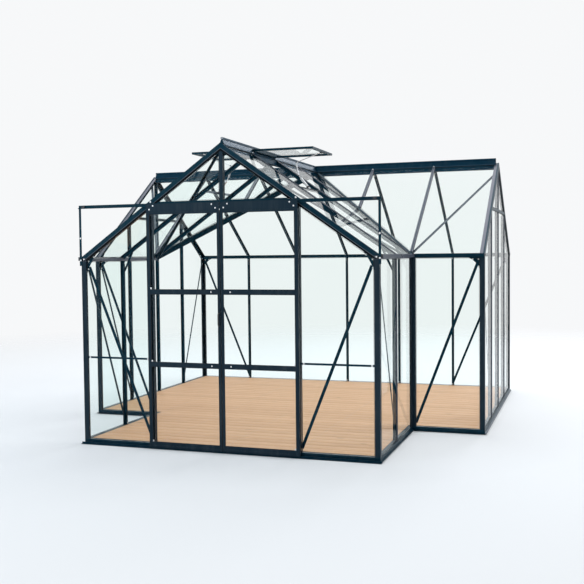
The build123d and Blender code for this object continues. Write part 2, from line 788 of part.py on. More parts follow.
# Panes in the walls
corner_edge = HALF_WING - CORNER_LEG
strip_half = STRIP_WEB / 2
tie_top = TIE_LEVEL + TIE_HEIGHT
side_tie_top = TIE_LEVEL + SIDE_TIE_HEIGHT
post_edge = POST_WIDTH / 2
with BuildPart() as front_glass:
    wall_panes(gable_middle, FRONT, [
        (PANE_PITCH + post_edge, corner_edge, SILL_HEIGHT, STRIP_LEVEL - strip_half),
        (PANE_PITCH + post_edge, corner_edge, STRIP_LEVEL + strip_half, GLASS_APEX),
        (post_edge, PANE_PITCH, tie_top, GLASS_APEX),
    ])
    trim_under_rafters(gable_middle, FRONT, FIT)
    mirror(about=Plane.YZ)
save(front_glass, "front_glass")

with BuildPart() as wing_wall_glass:
    wall_panes(front_right, RIGHT, [
        (CORNER_LEG, PANE_PITCH - nose, SILL_HEIGHT, WALL_TOP),
        (PANE_PITCH + nose, WING_DEPTH - INNER_LEG, SILL_HEIGHT, WALL_TOP),
    ])
    mirror(about=Plane.YZ)
save(wing_wall_glass, "wing_wall_glass")

with BuildPart() as shoulder_glass:
    wall_panes(inner_right, FRONT, [(INNER_LEG, HALF_MAIN - HALF_WING - CORNER_LEG, SILL_HEIGHT, WALL_TOP)])
    mirror(about=Plane.YZ)
save(shoulder_glass, "shoulder_glass")

with BuildPart() as side_gable_glass:
    wall_panes(right_gable_middle, RIGHT, [
        (nose, PANE_PITCH - nose, SILL_HEIGHT, TIE_LEVEL),
        (PANE_PITCH + nose, corner_edge, SILL_HEIGHT, GLASS_APEX),
        (nose, PANE_PITCH - nose, side_tie_top, GLASS_APEX),
    ])
    trim_under_rafters(right_gable_middle, RIGHT, FIT)
    mirror(about=Plane(origin=main_apex, z_dir=BACK))
    mirror(about=Plane.YZ)
save(side_gable_glass, "side_gable_glass")

with BuildPart() as rear_wall_glass:
    last = HALF_MAIN - PANE_PITCH
    bays = [(PANE_PITCH * bay + nose, PANE_PITCH * (bay + 1) - nose) for bay in range(HALF_MAIN_BAYS - 1)]
    bays += [(last + nose, HALF_MAIN - CORNER_LEG)]
    wall_panes(rear_middle, BACK, [(start, end, SILL_HEIGHT, WALL_TOP) for start, end in bays])
    mirror(about=Plane.YZ)
save(rear_wall_glass, "rear_wall_glass")

# Panes in the roof
ridge_edge = SEAT + FIT
with BuildPart() as wing_roof_glass:
    slope_panes(wing_apex, RIGHT, [
        (rafter_edge, PANE_PITCH - nose, ridge_edge, glass_end),
        (PANE_PITCH + nose, 2 * PANE_PITCH - nose, VENT_SILL_SLOPE * COS + FIT, glass_end),
        (2 * PANE_PITCH + nose, 3 * PANE_PITCH - nose, ridge_edge, HALF_WING),
        (3 * PANE_PITCH + nose, 4 * PANE_PITCH - SEAT, ridge_edge, PANE_PITCH),
    ])
    keep_behind(valley_inside - valley_normal.normalized() * FIT, valley_normal)
    mirror(about=Plane.YZ)
save(wing_roof_glass, "wing_roof_glass")

with BuildPart() as front_slope_glass:
    bays = [(PANE_PITCH * bay + nose, PANE_PITCH * (bay + 1) - nose) for bay in range(HALF_MAIN_BAYS - 1)]
    bays += [(last + nose, HALF_MAIN - rafter_edge)]
    slope_panes(main_apex, FRONT, [(start, end, ridge_edge, glass_end) for start, end in bays])
    keep_behind(valley_outside + valley_normal.normalized() * FIT, valley_normal * -1)
    mirror(about=Plane.YZ)
save(front_slope_glass, "front_slope_glass")

with BuildPart() as rear_slope_glass:
    slope_panes(main_apex, BACK, [(start, end, ridge_edge, glass_end) for start, end in bays])
    mirror(about=Plane.YZ)
save(rear_slope_glass, "rear_slope_glass")

# Strips that join the two panes of each front bay
strip_half_length = (corner_edge - PANE_PITCH - post_edge) / 2 - FIT
strip_middle = gable_middle + RIGHT * (corner_edge + PANE_PITCH + post_edge) / 2 + UP * STRIP_LEVEL
with BuildPart() as front_bay_strips:
    with BuildSketch(Plane(origin=strip_middle + FRONT * GLASS / 2, x_dir=FRONT, z_dir=FRONT.cross(UP))):
        Rectangle(GLASS + 2 * (FIT + STRIP_FLANGE), STRIP_HEIGHT)
        with Locations((0, STRIP_HEIGHT / 2), (0, -STRIP_HEIGHT / 2)):
            Rectangle(GLASS + 2 * FIT, STRIP_HEIGHT - STRIP_WEB, mode=Mode.SUBTRACT)
    extrude(amount=strip_half_length, both=True)
    mirror(about=Plane.YZ)
save(front_bay_strips, "front_bay_strips")

# Corner plates, under the rafters' feet and apexes and under the gutters
side_edge = HALF_WING - GUTTER_INNER - FIT
post_lip = CORNER_LEG - WALL
web = BAR_WEB / 2
hang = (0, -GUSSET_DROP)
with BuildPart() as corner_plates:
    for middle, facing, inner in ((gable_middle, FRONT, post_edge), (right_gable_middle, RIGHT, web)):
        for sense in (1, -1):
            foot = (sense * side_edge, rafter_underside(side_edge) + WALL)
            gusset(middle, facing, foot, (-sense * GUSSET_REACH, GUSSET_REACH * SLOPE), hang)
            top = (sense * inner, rafter_underside(inner) + WALL)
            gusset(middle, facing, top, (sense * APEX_REACH, -APEX_REACH * SLOPE), (0, -APEX_REACH * SLOPE - APEX_DROP))
    gusset(front_right, RIGHT, (post_lip, WALL_TOP), (GUSSET_REACH, 0), hang)
    gusset(end_front, FRONT, (-post_lip, WALL_TOP), (-GUSSET_REACH, 0), hang)
    gusset(end_rear, BACK, (post_lip, WALL_TOP), (GUSSET_REACH, 0), hang)
    mirror(about=Plane.YZ)
save(corner_plates, "corner_plates")

# Diagonal straps from the corner plates to the foot of the next post
brace_head = WALL_TOP - BRACE_DROP
brace_foot = SILL_HEIGHT + BRACE_FOOT
with BuildPart() as wall_braces:
    for middle, facing, inner, sides in (
        (gable_middle, FRONT, post_edge, (1,)),
        (right_gable_middle, RIGHT, web, (1, -1)),
    ):
        for sense in sides:
            start, end = sense * (HALF_WING - BRACE_INSET), sense * (PANE_PITCH + inner)
            limits = sorted((sense * side_edge, end))
            region = ((limits[0], SILL_HEIGHT), (limits[1], WALL_TOP))
            strap(middle, facing, (start, brace_head), (end, brace_foot), region)
    for corner, facing, sense, far in (
        (front_right, RIGHT, 1, PANE_PITCH - web),
        (end_front, FRONT, -1, HALF_MAIN - HALF_WING - INNER_LEG + WALL),
        (end_rear, BACK, 1, PANE_PITCH - web),
    ):
        limits = sorted((sense * post_lip, sense * far))
        region = ((limits[0], SILL_HEIGHT), (limits[1], WALL_TOP))
        strap(corner, facing, (sense * BRACE_INSET, brace_head), (sense * far, brace_foot), region)
    mirror(about=Plane.YZ)
save(wall_braces, "wall_braces")

# Stays from the wall bars to the roof bars
stay_low = (-STAY_SEAT, WALL_TOP - STAY_DROP)
stay_high = (-STAY_REACH, EAVE_HEIGHT + STAY_REACH * SLOPE - STAY_SEAT / COS)
stay_side = BAR_CHANNEL_WIDTH / 2
with BuildPart() as knee_stays:
    for place, outward in (
        [(front_right + BACK * PANE_PITCH, RIGHT), (front_right + LEFT * 2 * HALF_WING + BACK * PANE_PITCH, LEFT)]
        + [(rear_middle + RIGHT * place, BACK) for place in rear_places]
    ):
        along = outward.cross(UP)
        with BuildSketch(Plane(origin=place + along * stay_side, x_dir=outward, z_dir=along)):
            outline(between(stay_low, stay_high, STAY_WIDTH))
        extrude(amount=STRAP_THICKNESS)
save(knee_stays, "knee_stays")

# Straps under the main roof's front slope
with BuildPart() as roof_braces:
    with BuildSketch(slope_plane(main_apex, FRONT, -BAR_DEPTH - STRAP_THICKNESS)):
        high = (ROOF_BRACE_HEAD, HALF_MAIN)
        low = (HALF_WING / COS - ROOF_BRACE_FOOT, (HALF_MAIN_BAYS - 1) * PANE_PITCH)
        outline(between(high, low, STRAP_WIDTH))
        with Locations((HALF_WING / 2, HALF_MAIN - CORNER_LIP - STRAP_THICKNESS - BIG / 2)):
            Rectangle(BIG, BIG, mode=Mode.INTERSECT)
    extrude(amount=STRAP_THICKNESS)
    mirror(about=Plane.YZ)
save(roof_braces, "roof_braces")

# Tracks of the sliding doors
across = FRONT.cross(UP)
with BuildPart() as door_track:
    with BuildSketch(Plane(origin=gable_middle, x_dir=FRONT, z_dir=across)):
        outline(track_points())
    extrude(amount=TRACK_HALF_LENGTH, both=True)
save(door_track, "door_track")

with BuildPart() as bottom_track:
    with BuildSketch(Plane(origin=gable_middle, x_dir=FRONT, z_dir=across)):
        outline(guide_points())
    extrude(amount=TRACK_HALF_LENGTH, both=True)
save(bottom_track, "bottom_track")

with BuildPart() as track_struts:
    with BuildSketch(wall_plane(gable_middle + FRONT * CORNER_FACE, FRONT)):
        with Locations((TRACK_HALF_LENGTH - STRUT_WIDTH / 2, (TIE_LEVEL + WALL_TOP - STRUT_DROP) / 2)):
            Rectangle(STRUT_WIDTH, TIE_LEVEL - WALL_TOP + STRUT_DROP)
    extrude(amount=WALL)
    mirror(about=Plane.YZ)
save(track_struts, "track_struts")

# Roof vents, each hinged at the wing's ridge and propped open
vent_sill_run = Plane(origin=wing_apex + BACK * (2 * PANE_PITCH - FLANGE_WIDTH / 2), x_dir=fall(RIGHT), z_dir=FRONT)
with BuildPart() as vent_sills:
    with BuildSketch(vent_sill_run):
        outline(vent_sill_points())
    extrude(amount=PANE_PITCH - FLANGE_WIDTH)
    mirror(about=Plane.YZ)
save(vent_sills, "vent_sills")

side_foot, side_neck = ridge_side()
side_lean = (side_foot.X - side_neck.X) / (side_neck.Y - side_foot.Y)
vent_edge = side_foot.X - (VENT_LEVEL - side_foot.Y) * side_lean + FIT
vent_middle = Vector(vent_edge + VENT_LENGTH / 2, Y_FRONT + 1.5 * PANE_PITCH, GLASS_APEX + VENT_LEVEL)
vent_width = PANE_PITCH - 2 * VENT_SIDE_GAP
rebate = VENT_FRAME - VENT_LIP
with BuildPart() as vent_frames:
    with BuildSketch(Plane(origin=vent_middle)):
        Rectangle(VENT_LENGTH, vent_width)
        Rectangle(VENT_LENGTH - 2 * VENT_FRAME, vent_width - 2 * VENT_FRAME, mode=Mode.SUBTRACT)
    extrude(amount=VENT_THICKNESS)
    with BuildSketch(Plane(origin=vent_middle + UP * (VENT_THICKNESS - GLASS - 2 * FIT))):
        Rectangle(VENT_LENGTH - 2 * rebate, vent_width - 2 * rebate)
    extrude(amount=VENT_THICKNESS, mode=Mode.SUBTRACT)
    mirror(about=Plane.YZ)
save(vent_frames, "vent_frames")

with BuildPart() as vent_glass:
    with BuildSketch(Plane(origin=vent_middle + UP * (VENT_THICKNESS - GLASS - 2 * FIT))):
        Rectangle(VENT_LENGTH - 2 * rebate - 2 * FIT, vent_width - 2 * rebate - 2 * FIT)
    extrude(amount=GLASS)
    mirror(about=Plane.YZ)
save(vent_glass, "vent_glass")

# Vent openers: a cylinder on the vent's sill and a cranked arm under the vent
opener_turn = math.radians(OPENER_TURN)
opener_run = fall(RIGHT) * -math.cos(opener_turn) + face_of(RIGHT) * math.sin(opener_turn)
opener_slope = VENT_SILL_SLOPE - WALL - FIT - OPENER_RADIUS * math.sin(opener_turn)
mid_vent = wing_apex + BACK * (1.5 * PANE_PITCH)
opener_foot = mid_vent + fall(RIGHT) * opener_slope - face_of(RIGHT) * WALL
opener_top = opener_foot + opener_run * OPENER_LENGTH - mid_vent
elbow = (OPENER_ELBOW_REACH, -OPENER_ELBOW_DROP)
opener_head = (vent_edge + VENT_LENGTH - VENT_FRAME / 2, VENT_LEVEL)
with BuildPart() as vent_openers:
    with BuildSketch(Plane(origin=opener_foot, x_dir=FRONT, z_dir=opener_run)):
        Circle(OPENER_RADIUS)
    extrude(amount=OPENER_LENGTH)
    with BuildSketch(Plane(origin=mid_vent, x_dir=RIGHT, z_dir=FRONT)):
        outline(between((opener_top.X, opener_top.Z), elbow, OPENER_ARM))
        with Locations(elbow):
            Circle(OPENER_ARM / 2)
        outline(between(elbow, opener_head, OPENER_ARM))
    extrude(amount=OPENER_ARM / 2, both=True)
    split(bisect_by=Plane(origin=mid_vent + UP * VENT_LEVEL, z_dir=UP), keep=Keep.BOTTOM)
    mirror(about=Plane.YZ)
save(vent_openers, "vent_openers")

# Raised floor inside the ground sills
sill_inner = SILL_INNER + FLOOR_GAP
floor_front = Y_FRONT + sill_inner
floor_join = Y_INNER + sill_inner
with BuildPart() as wing_floor:
    with Locations((0, (floor_front + floor_join) / 2, FLOOR_TOP / 2)):
        Box(2 * (HALF_WING - sill_inner), WING_DEPTH, FLOOR_TOP)
save(wing_floor, "wing_floor")

with BuildPart() as main_floor:
    with Locations((0, (floor_join + Y_REAR - sill_inner) / 2, FLOOR_TOP / 2)):
        Box(2 * (HALF_MAIN - sill_inner), MAIN_DEPTH - 2 * sill_inner, FLOOR_TOP)
save(main_floor, "main_floor")

# Sliding doors, closed; each leaf has three panes
leaf_start = DOOR_GAP / 2
leaf_end = leaf_start + DOOR_WIDTH
leaf_middle = (leaf_start + leaf_end) / 2
leaf_plane = wall_plane(gable_middle + FRONT * DOOR_BACK, FRONT)
leaf_face = wall_plane(gable_middle + FRONT * DOOR_FRONT, FRONT)
leaf_rows = [
    (DOOR_FOOT + DOOR_BOTTOM_RAIL, LOWER_RAIL_LEVEL),
    (LOWER_RAIL_LEVEL + DOOR_RAIL, UPPER_RAIL_LEVEL),
    (UPPER_RAIL_LEVEL + DOOR_RAIL, DOOR_TOP - DOOR_TOP_RAIL),
]
leaf_windows = [
    (leaf_start + MEETING_STILE, leaf_end - DOOR_STILE, low, high) for low, high in leaf_rows
]
groove_width = GUIDE_PLATE + 2 * GUIDE_CLEARANCE
with BuildPart() as right_door_frame:
    with BuildSketch(leaf_plane):
        with Locations((leaf_middle, (DOOR_FOOT + DOOR_TOP) / 2)):
            Rectangle(DOOR_WIDTH, DOOR_TOP - DOOR_FOOT)
    extrude(amount=DOOR_FRONT - DOOR_BACK)
    with BuildSketch(leaf_plane):
        rectangles(leaf_windows, DOOR_LIP)
    extrude(amount=DOOR_FRONT - DOOR_BACK - DOOR_FACE, mode=Mode.SUBTRACT)
    with BuildSketch(leaf_plane):
        rectangles(leaf_windows)
    extrude(amount=DOOR_FRONT - DOOR_BACK, mode=Mode.SUBTRACT)
    with BuildSketch(Plane(origin=gable_middle + FRONT * GUIDE_LINE + UP * DOOR_FOOT)):
        Rectangle(BIG, groove_width)
    extrude(amount=GROOVE_DEPTH, mode=Mode.SUBTRACT)
save(right_door_frame, "right_door_frame")

with BuildPart() as right_door_head:
    with BuildSketch(Plane(origin=gable_middle + RIGHT * leaf_end, x_dir=FRONT, z_dir=across)):
        outline(head_points())
    extrude(amount=DOOR_WIDTH)
save(right_door_head, "right_door_head")

with BuildPart() as right_door_glass:
    with BuildSketch(wall_plane(gable_middle + FRONT * (DOOR_FRONT - DOOR_FACE - FIT - GLASS), FRONT)):
        rectangles(leaf_windows, DOOR_LIP - FIT)
    extrude(amount=GLASS)
save(right_door_glass, "right_door_glass")

# Each roller is a wheel in the track and the pin that joins it to the door's head
wheel_back = CORNER_FACE + TRACK_WALL + WHEEL_SIDE_GAP
wheel_plane = wall_plane(gable_middle + FRONT * wheel_back, FRONT)
wheel_level = TIE_LEVEL + TRACK_WALL + FIT + WHEEL_RADIUS
wheel_places = [(leaf_start + WHEEL_INSET, wheel_level), (leaf_end - WHEEL_INSET, wheel_level)]
with BuildPart() as right_door_rollers:
    with BuildSketch(wheel_plane):
        with Locations(*wheel_places):
            Circle(WHEEL_RADIUS)
    extrude(amount=WHEEL_WIDTH)
    with BuildSketch(wheel_plane):
        with Locations(*wheel_places):
            Circle(AXLE_RADIUS)
    extrude(amount=DOOR_FRONT + HEAD_PROUD - WALL - wheel_back)
save(right_door_rollers, "right_door_rollers")

with BuildPart() as left_door_frame:
    mirror(right_door_frame.part, about=Plane.YZ)
save(left_door_frame, "left_door_frame")

with BuildPart() as left_door_head:
    mirror(right_door_head.part, about=Plane.YZ)
save(left_door_head, "left_door_head")

with BuildPart() as left_door_glass:
    mirror(right_door_glass.part, about=Plane.YZ)
save(left_door_glass, "left_door_glass")

with BuildPart() as left_door_rollers:
    mirror(right_door_rollers.part, about=Plane.YZ)
save(left_door_rollers, "left_door_rollers")

# Bow handle on the left leaf's meeting stile
handle_middle = gable_middle + LEFT * (leaf_start + MEETING_STILE / 2) + UP * HANDLE_LEVEL
with BuildPart() as left_door_handle:
    with BuildSketch(Plane(origin=handle_middle + FRONT * DOOR_FRONT, x_dir=FRONT, z_dir=LEFT)):
        with Locations((HANDLE_REACH / 2, 0)):
            Rectangle(HANDLE_REACH, HANDLE_LENGTH)
        with Locations(((HANDLE_REACH - HANDLE_BAR) / 2, 0)):
            Rectangle(HANDLE_REACH - HANDLE_BAR, HANDLE_LENGTH - 2 * HANDLE_FOOT, mode=Mode.SUBTRACT)
    extrude(amount=HANDLE_WIDTH / 2, both=True)
save(left_door_handle, "left_door_handle")
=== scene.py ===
"""T-shaped glass greenhouse: finishes, fastenings, deck boards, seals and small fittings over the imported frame."""
import logging
import math
import re
from dataclasses import dataclass, field
from enum import Enum
from typing import Iterable, Optional, Sequence

import bmesh
import bpy
from bpy.types import Material, Mesh, Node, NodeSocket, NodeTree
from mathutils import Matrix, Vector


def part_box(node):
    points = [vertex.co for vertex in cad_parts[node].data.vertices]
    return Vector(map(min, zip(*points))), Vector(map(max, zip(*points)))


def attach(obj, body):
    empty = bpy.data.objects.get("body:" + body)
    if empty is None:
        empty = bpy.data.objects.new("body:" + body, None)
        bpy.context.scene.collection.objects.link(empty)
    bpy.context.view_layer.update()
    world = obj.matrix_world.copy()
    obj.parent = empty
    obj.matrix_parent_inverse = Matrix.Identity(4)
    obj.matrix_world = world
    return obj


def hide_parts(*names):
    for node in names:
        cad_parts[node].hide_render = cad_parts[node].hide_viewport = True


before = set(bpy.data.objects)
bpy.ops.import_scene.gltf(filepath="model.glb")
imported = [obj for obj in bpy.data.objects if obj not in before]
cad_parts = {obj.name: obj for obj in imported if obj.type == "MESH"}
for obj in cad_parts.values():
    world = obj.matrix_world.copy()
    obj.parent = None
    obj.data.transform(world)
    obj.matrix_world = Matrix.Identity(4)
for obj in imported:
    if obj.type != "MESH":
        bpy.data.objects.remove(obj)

LOG = logging.getLogger("greenhouse")
Colour = tuple[float, float, float]
Point = tuple[float, float, float]
Outline = Sequence[tuple[float, float]]
Sockets = bpy.types.bpy_prop_collection
UP = Vector((0.0, 0.0, 1.0))
MERGE = 1e-6
TINY = 1e-6
SPREAD = (0.3, 0.7)
CORE = (0.35, 0.65)
BOUNCES = 40
SEED = 7


class Body(Enum):
    """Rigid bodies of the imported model."""

    FRAME = "frame"
    LEFT_DOOR = "left_door"
    RIGHT_DOOR = "right_door"


class Facing(Enum):
    """The ways that walls and roof slopes face."""

    FRONT = (0.0, -1.0, 0.0)
    BACK = (0.0, 1.0, 0.0)
    RIGHT = (1.0, 0.0, 0.0)
    LEFT = (-1.0, 0.0, 0.0)

    @property
    def outward(self) -> Vector:
        """Level direction out of the wall or slope."""
        return Vector(self.value)

    @property
    def along(self) -> Vector:
        """Level direction that runs with the wall, anticlockwise from above."""
        return UP.cross(self.outward)


SIDES = (Facing.RIGHT, Facing.LEFT)


@dataclass(frozen=True)
class Plan:
    """Sizes of the frame that the fittings take their places from, in metres."""

    pitch: float = 0.637
    eave: float = 1.581
    sill: float = 0.040
    wall_top: float = 1.545
    face: float = 0.012
    front: float = -1.897
    roof_angle: float = math.radians(35.0)
    track_half: float = 1.300

    @property
    def half_wing(self) -> float:
        """Half the width of the front wing."""
        return 2 * self.pitch

    @property
    def half_main(self) -> float:
        """Half the length of the cross wing."""
        return 3 * self.pitch

    @property
    def inner(self) -> float:
        """Y of the cross wing's front wall."""
        return self.front + 2 * self.pitch

    @property
    def ridge(self) -> float:
        """Y of the cross wing's ridge."""
        return self.front + 4 * self.pitch

    @property
    def rear(self) -> float:
        """Y of the rear wall."""
        return self.front + 6 * self.pitch

    @property
    def apex(self) -> float:
        """Height where the roof panes' lower faces would meet."""
        return self.eave + self.half_wing * math.tan(self.roof_angle)

    @property
    def slope(self) -> float:
        """Length of a roof slope from the apex to the eave."""
        return self.half_wing / math.cos(self.roof_angle)

    def down(self, facing: Facing) -> Vector:
        """Unit vector straight down the slope that faces this way."""
        return facing.outward * math.cos(self.roof_angle) - UP * math.sin(self.roof_angle)

    def off(self, facing: Facing) -> Vector:
        """Unit vector straight out of the slope that faces this way."""
        return facing.outward * math.sin(self.roof_angle) + UP * math.cos(self.roof_angle)


PLAN = Plan()


# Node trees


class Tree:
    """A node tree with short ways to place and feed nodes."""

    KINDS = {"VALUE": "NodeSocketFloat", "VECTOR": "NodeSocketVector", "GEOMETRY": "NodeSocketGeometry"}

    def __init__(self, tree: NodeTree) -> None:
        """Keep the shader or geometry node tree."""
        self.tree = tree

    def add(self, kind: str, inputs: Optional[dict] = None, **settings: object) -> Node:
        """Place one node.

        Args:
            kind: The node's type.
            inputs: Sockets or values for its inputs, by name or index.
            settings: Values for its properties.

        Returns:
            The node.
        """
        node = self.tree.nodes.new(kind)
        for key, value in settings.items():
            setattr(node, key, value)
        for key, value in (inputs or {}).items():
            self.feed(node.inputs[key], value)
        return node

    def feed(self, target: NodeSocket, value: object) -> None:
        """Link an input to a socket, or set the input's own value.

        Args:
            target: The input.
            value: A socket, a number, a vector or a colour.
        """
        if isinstance(value, NodeSocket):
            self.tree.links.new(value, target)
        else:
            target.default_value = (*value, 1.0) if target.type == "RGBA" else value

    def math(self, operation: str, first: object, second: object = 0.0, clamp: bool = False) -> NodeSocket:
        """Output of a Math node for two sockets or numbers."""
        return self.add("ShaderNodeMath", {0: first, 1: second}, operation=operation, use_clamp=clamp).outputs[0]

    def span(self, value: NodeSocket, low: float, high: float, start: float = 0.0,
             end: float = 1.0) -> NodeSocket:
        """Map a value from low and high to start and end, clamped."""
        return self.add("ShaderNodeMapRange", {0: value, 1: low, 2: high, 3: start, 4: end}).outputs[0]

    def blend(self, factor: NodeSocket, first: object, second: object) -> NodeSocket:
        """Mix two colours, by the share of the second."""
        return self.add("ShaderNodeMix", {0: factor, 6: first, 7: second}, data_type="RGBA").outputs[2]

    def noise(self, place: NodeSocket, **inputs: object) -> NodeSocket:
        """Noise at a place, from 0 to 1."""
        return self.add("ShaderNodeTexNoise", {"Vector": place, **inputs}).outputs["Fac"]

    def stretch(self, place: NodeSocket, scale: Point) -> NodeSocket:
        """Place scaled along each axis."""
        return self.add("ShaderNodeMapping", {"Vector": place, "Scale": scale}).outputs["Vector"]

    def bump(self, strength: float, distance: float, **inputs: object) -> NodeSocket:
        """Normal bent by a height."""
        return self.add("ShaderNodeBump", {"Strength": strength, "Distance": distance, **inputs}).outputs["Normal"]

    def close(self, **results: NodeSocket) -> NodeTree:
        """Give a group its outputs.

        Args:
            results: The socket behind each output, by name.

        Returns:
            The finished node tree.
        """
        for label, source in results.items():
            self.tree.interface.new_socket(name=label, in_out="OUTPUT", socket_type=self.KINDS[source.type])
        self.add("NodeGroupOutput", results)
        return self.tree


def new_group(name: str, kind: str, inputs: dict[str, object]) -> tuple[Tree, Sockets]:
    """Start a node group.

    Args:
        name: Its name.
        kind: Its type.
        inputs: Default number of each input, or the type of one that has no default.

    Returns:
        The tree and what its Group Input gives.
    """
    tree = Tree(bpy.data.node_groups.new(name, kind))
    for label, default in inputs.items():
        plain = default if isinstance(default, str) else {float: "Float", int: "Int"}[type(default)]
        socket = tree.tree.interface.new_socket(name=label, in_out="INPUT", socket_type=f"NodeSocket{plain}")
        if not isinstance(default, str):
            socket.default_value = default
    return tree, tree.add("NodeGroupInput").outputs


class Effects:
    """Node groups that several finishes share."""

    def __init__(self) -> None:
        """Build each group once."""
        self.edges = self._edges()
        self.weather = self._weather()
        self.peel = self._peel()
        self.grain = self._grain()

    @staticmethod
    def _start(name: str, **inputs: float) -> tuple[Tree, Sockets]:
        """Start a group that follows a position."""
        return new_group(name, "ShaderNodeTree", {"Position": "Vector", **inputs})

    def _edges(self) -> NodeTree:
        """Mask that is 1 along sharp edges and breaks up with noise, and the rounded normal.

        Returns:
            The node group.
        """
        group, given = self._start("sharp edges", Width=0.002)
        rounded = group.add("ShaderNodeBevel", {"Radius": given["Width"]}, samples=4).outputs["Normal"]
        flat = group.add("ShaderNodeNewGeometry").outputs["True Normal"]
        turn = group.add("ShaderNodeVectorMath", {0: rounded, 1: flat}, operation="DOT_PRODUCT").outputs["Value"]
        # the mask lightens edges in the finishes, partly as wear and partly as a painted edge highlight
        edge_breakup = group.span(group.noise(given["Position"], Scale=60.0, Detail=3.0), *CORE, 0.35)
        return group.close(Mask=group.math("MULTIPLY", group.span(turn, 0.99, 0.80), edge_breakup), Normal=rounded)

    def _weather(self) -> NodeTree:
        """Mask of faint dust and rain marks that run down.

        Returns:
            The node group.
        """
        group, given = self._start("rain marks", Amount=0.5)
        runs = group.noise(group.stretch(given["Position"], (26.0, 26.0, 1.6)), Scale=1.0, Detail=4.0, Roughness=0.6)
        clouds = group.noise(given["Position"], Scale=3.5, Detail=5.0, Roughness=0.65)
        both = group.math("MULTIPLY", group.span(runs, 0.42, 0.72), group.span(clouds, 0.35, 0.7, 0.15))
        return group.close(Mask=group.math("MULTIPLY", both, given["Amount"]))

    def _peel(self) -> NodeTree:
        """Height of the fine texture that baked powder leaves."""
        group, given = self._start("powder texture", Grain=900.0)
        return group.close(Height=group.noise(given["Position"], Scale=given["Grain"], Detail=2.0, Roughness=0.5))

    def _grain(self) -> NodeTree:
        """Rings, fibre and knots of sawn timber that runs along X, another piece for each board.

        Returns:
            The node group.
        """
        group, given = self._start("timber grain", Board=0.0)
        shift = group.add("ShaderNodeCombineXYZ", {axis: group.math("MULTIPLY", given["Board"], step)
                                                   for axis, step in (("X", 37.0), ("Z", 11.0))})
        place = group.add("ShaderNodeVectorMath", {0: given["Position"], 1: shift.outputs["Vector"]},
                          operation="ADD").outputs["Vector"]
        rings = group.noise(group.stretch(place, (1.3, 26.0, 26.0)), Scale=1.0, Detail=3.0, Distortion=1.4)
        bands = group.math("SINE", group.math("MULTIPLY", rings, 34.0))
        fibre = group.noise(group.stretch(place, (9.0, 420.0, 420.0)), Scale=1.0, Detail=4.0)
        cells = group.add("ShaderNodeTexVoronoi", {"Vector": group.stretch(place, (1.1, 4.6, 1.0)), "Scale": 1.7,
                                                   "Randomness": 1.0})
        return group.close(Rings=group.span(bands, -1.0, 1.0), Fibre=fibre,
                           Knots=group.span(cells.outputs["Distance"], 0.035, 0.09, 1.0, 0.0))


EFFECTS = Effects()


# Finishes


class Paint(Tree):
    """Node tree of one material, on Object coordinates."""

    def __init__(self, name: str) -> None:
        """Start the material with its Principled BSDF.

        Args:
            name: The finish's name.
        """
        self.material = bpy.data.materials.new(name)
        self.material.use_nodes = True
        super().__init__(self.material.node_tree)
        self.shader = self.find("BSDF_PRINCIPLED")
        self.place = self.add("ShaderNodeTexCoord").outputs["Object"]

    def find(self, kind: str) -> Node:
        """The one node of a kind."""
        return next(node for node in self.tree.nodes if node.type == kind)

    def effect(self, group: NodeTree, **inputs: object) -> Sockets:
        """Place a shared effect and give its outputs."""
        return self.add("ShaderNodeGroup", {"Position": self.place, **inputs}, node_tree=group).outputs

    def finish(self, base: NodeSocket, rough: object, inputs: dict[str, object]) -> Material:
        """Feed the Principled BSDF.

        Args:
            base: Its Base Color.
            rough: Its Roughness.
            inputs: Sockets or values for its other inputs, by name.

        Returns:
            The material.
        """
        for key, value in {"Base Color": base, "Roughness": rough, **inputs}.items():
            self.feed(self.shader.inputs[key], value)
        return self.material


@dataclass(frozen=True)
class PowderCoat:
    """Satin powder coat on extruded aluminium."""

    name: str
    colour: Colour
    lift: Colour
    roughness: float = 0.34
    gloss: float = 0.17
    sheen: Colour = (0.20, 0.78, 1.0)
    dust: Colour = (0.20, 0.21, 0.20)
    marks: float = 0.30
    edge: float = 0.0012

    def build(self) -> Material:
        """Make the material: two tones, edges lightened partly as wear and partly as a painted highlight, and rain
        marks.

        Returns:
            The material.
        """
        paint = Paint(self.name)
        edges = paint.effect(EFFECTS.edges, Width=self.edge)
        rain = paint.effect(EFFECTS.weather, Amount=self.marks)["Mask"]
        peel = paint.effect(EFFECTS.peel)["Height"]
        tone = paint.noise(paint.place, Scale=2.3, Detail=3.0)
        base = paint.blend(paint.span(tone, *SPREAD, 0.0, 0.35), self.colour, self.lift)
        # painted highlight: edges lighten towards the lift tone, partly as wear and partly as a painted edge highlight
        worn_and_highlit = paint.blend(paint.math("MULTIPLY", edges["Mask"], 0.55), base, self.lift)
        dusty = paint.blend(paint.math("MULTIPLY", rain, 0.35), worn_and_highlit, self.dust)
        rough = paint.math("ADD", paint.span(tone, *SPREAD, self.roughness - 0.03, self.roughness + 0.05),
                           paint.math("MULTIPLY", rain, 0.25))
        normal = paint.bump(0.10, 0.0002, Height=peel, Normal=edges["Normal"])
        return paint.finish(dusty, rough, {"Normal": normal, "Specular IOR Level": self.gloss,
                                           "Specular Tint": self.sheen})


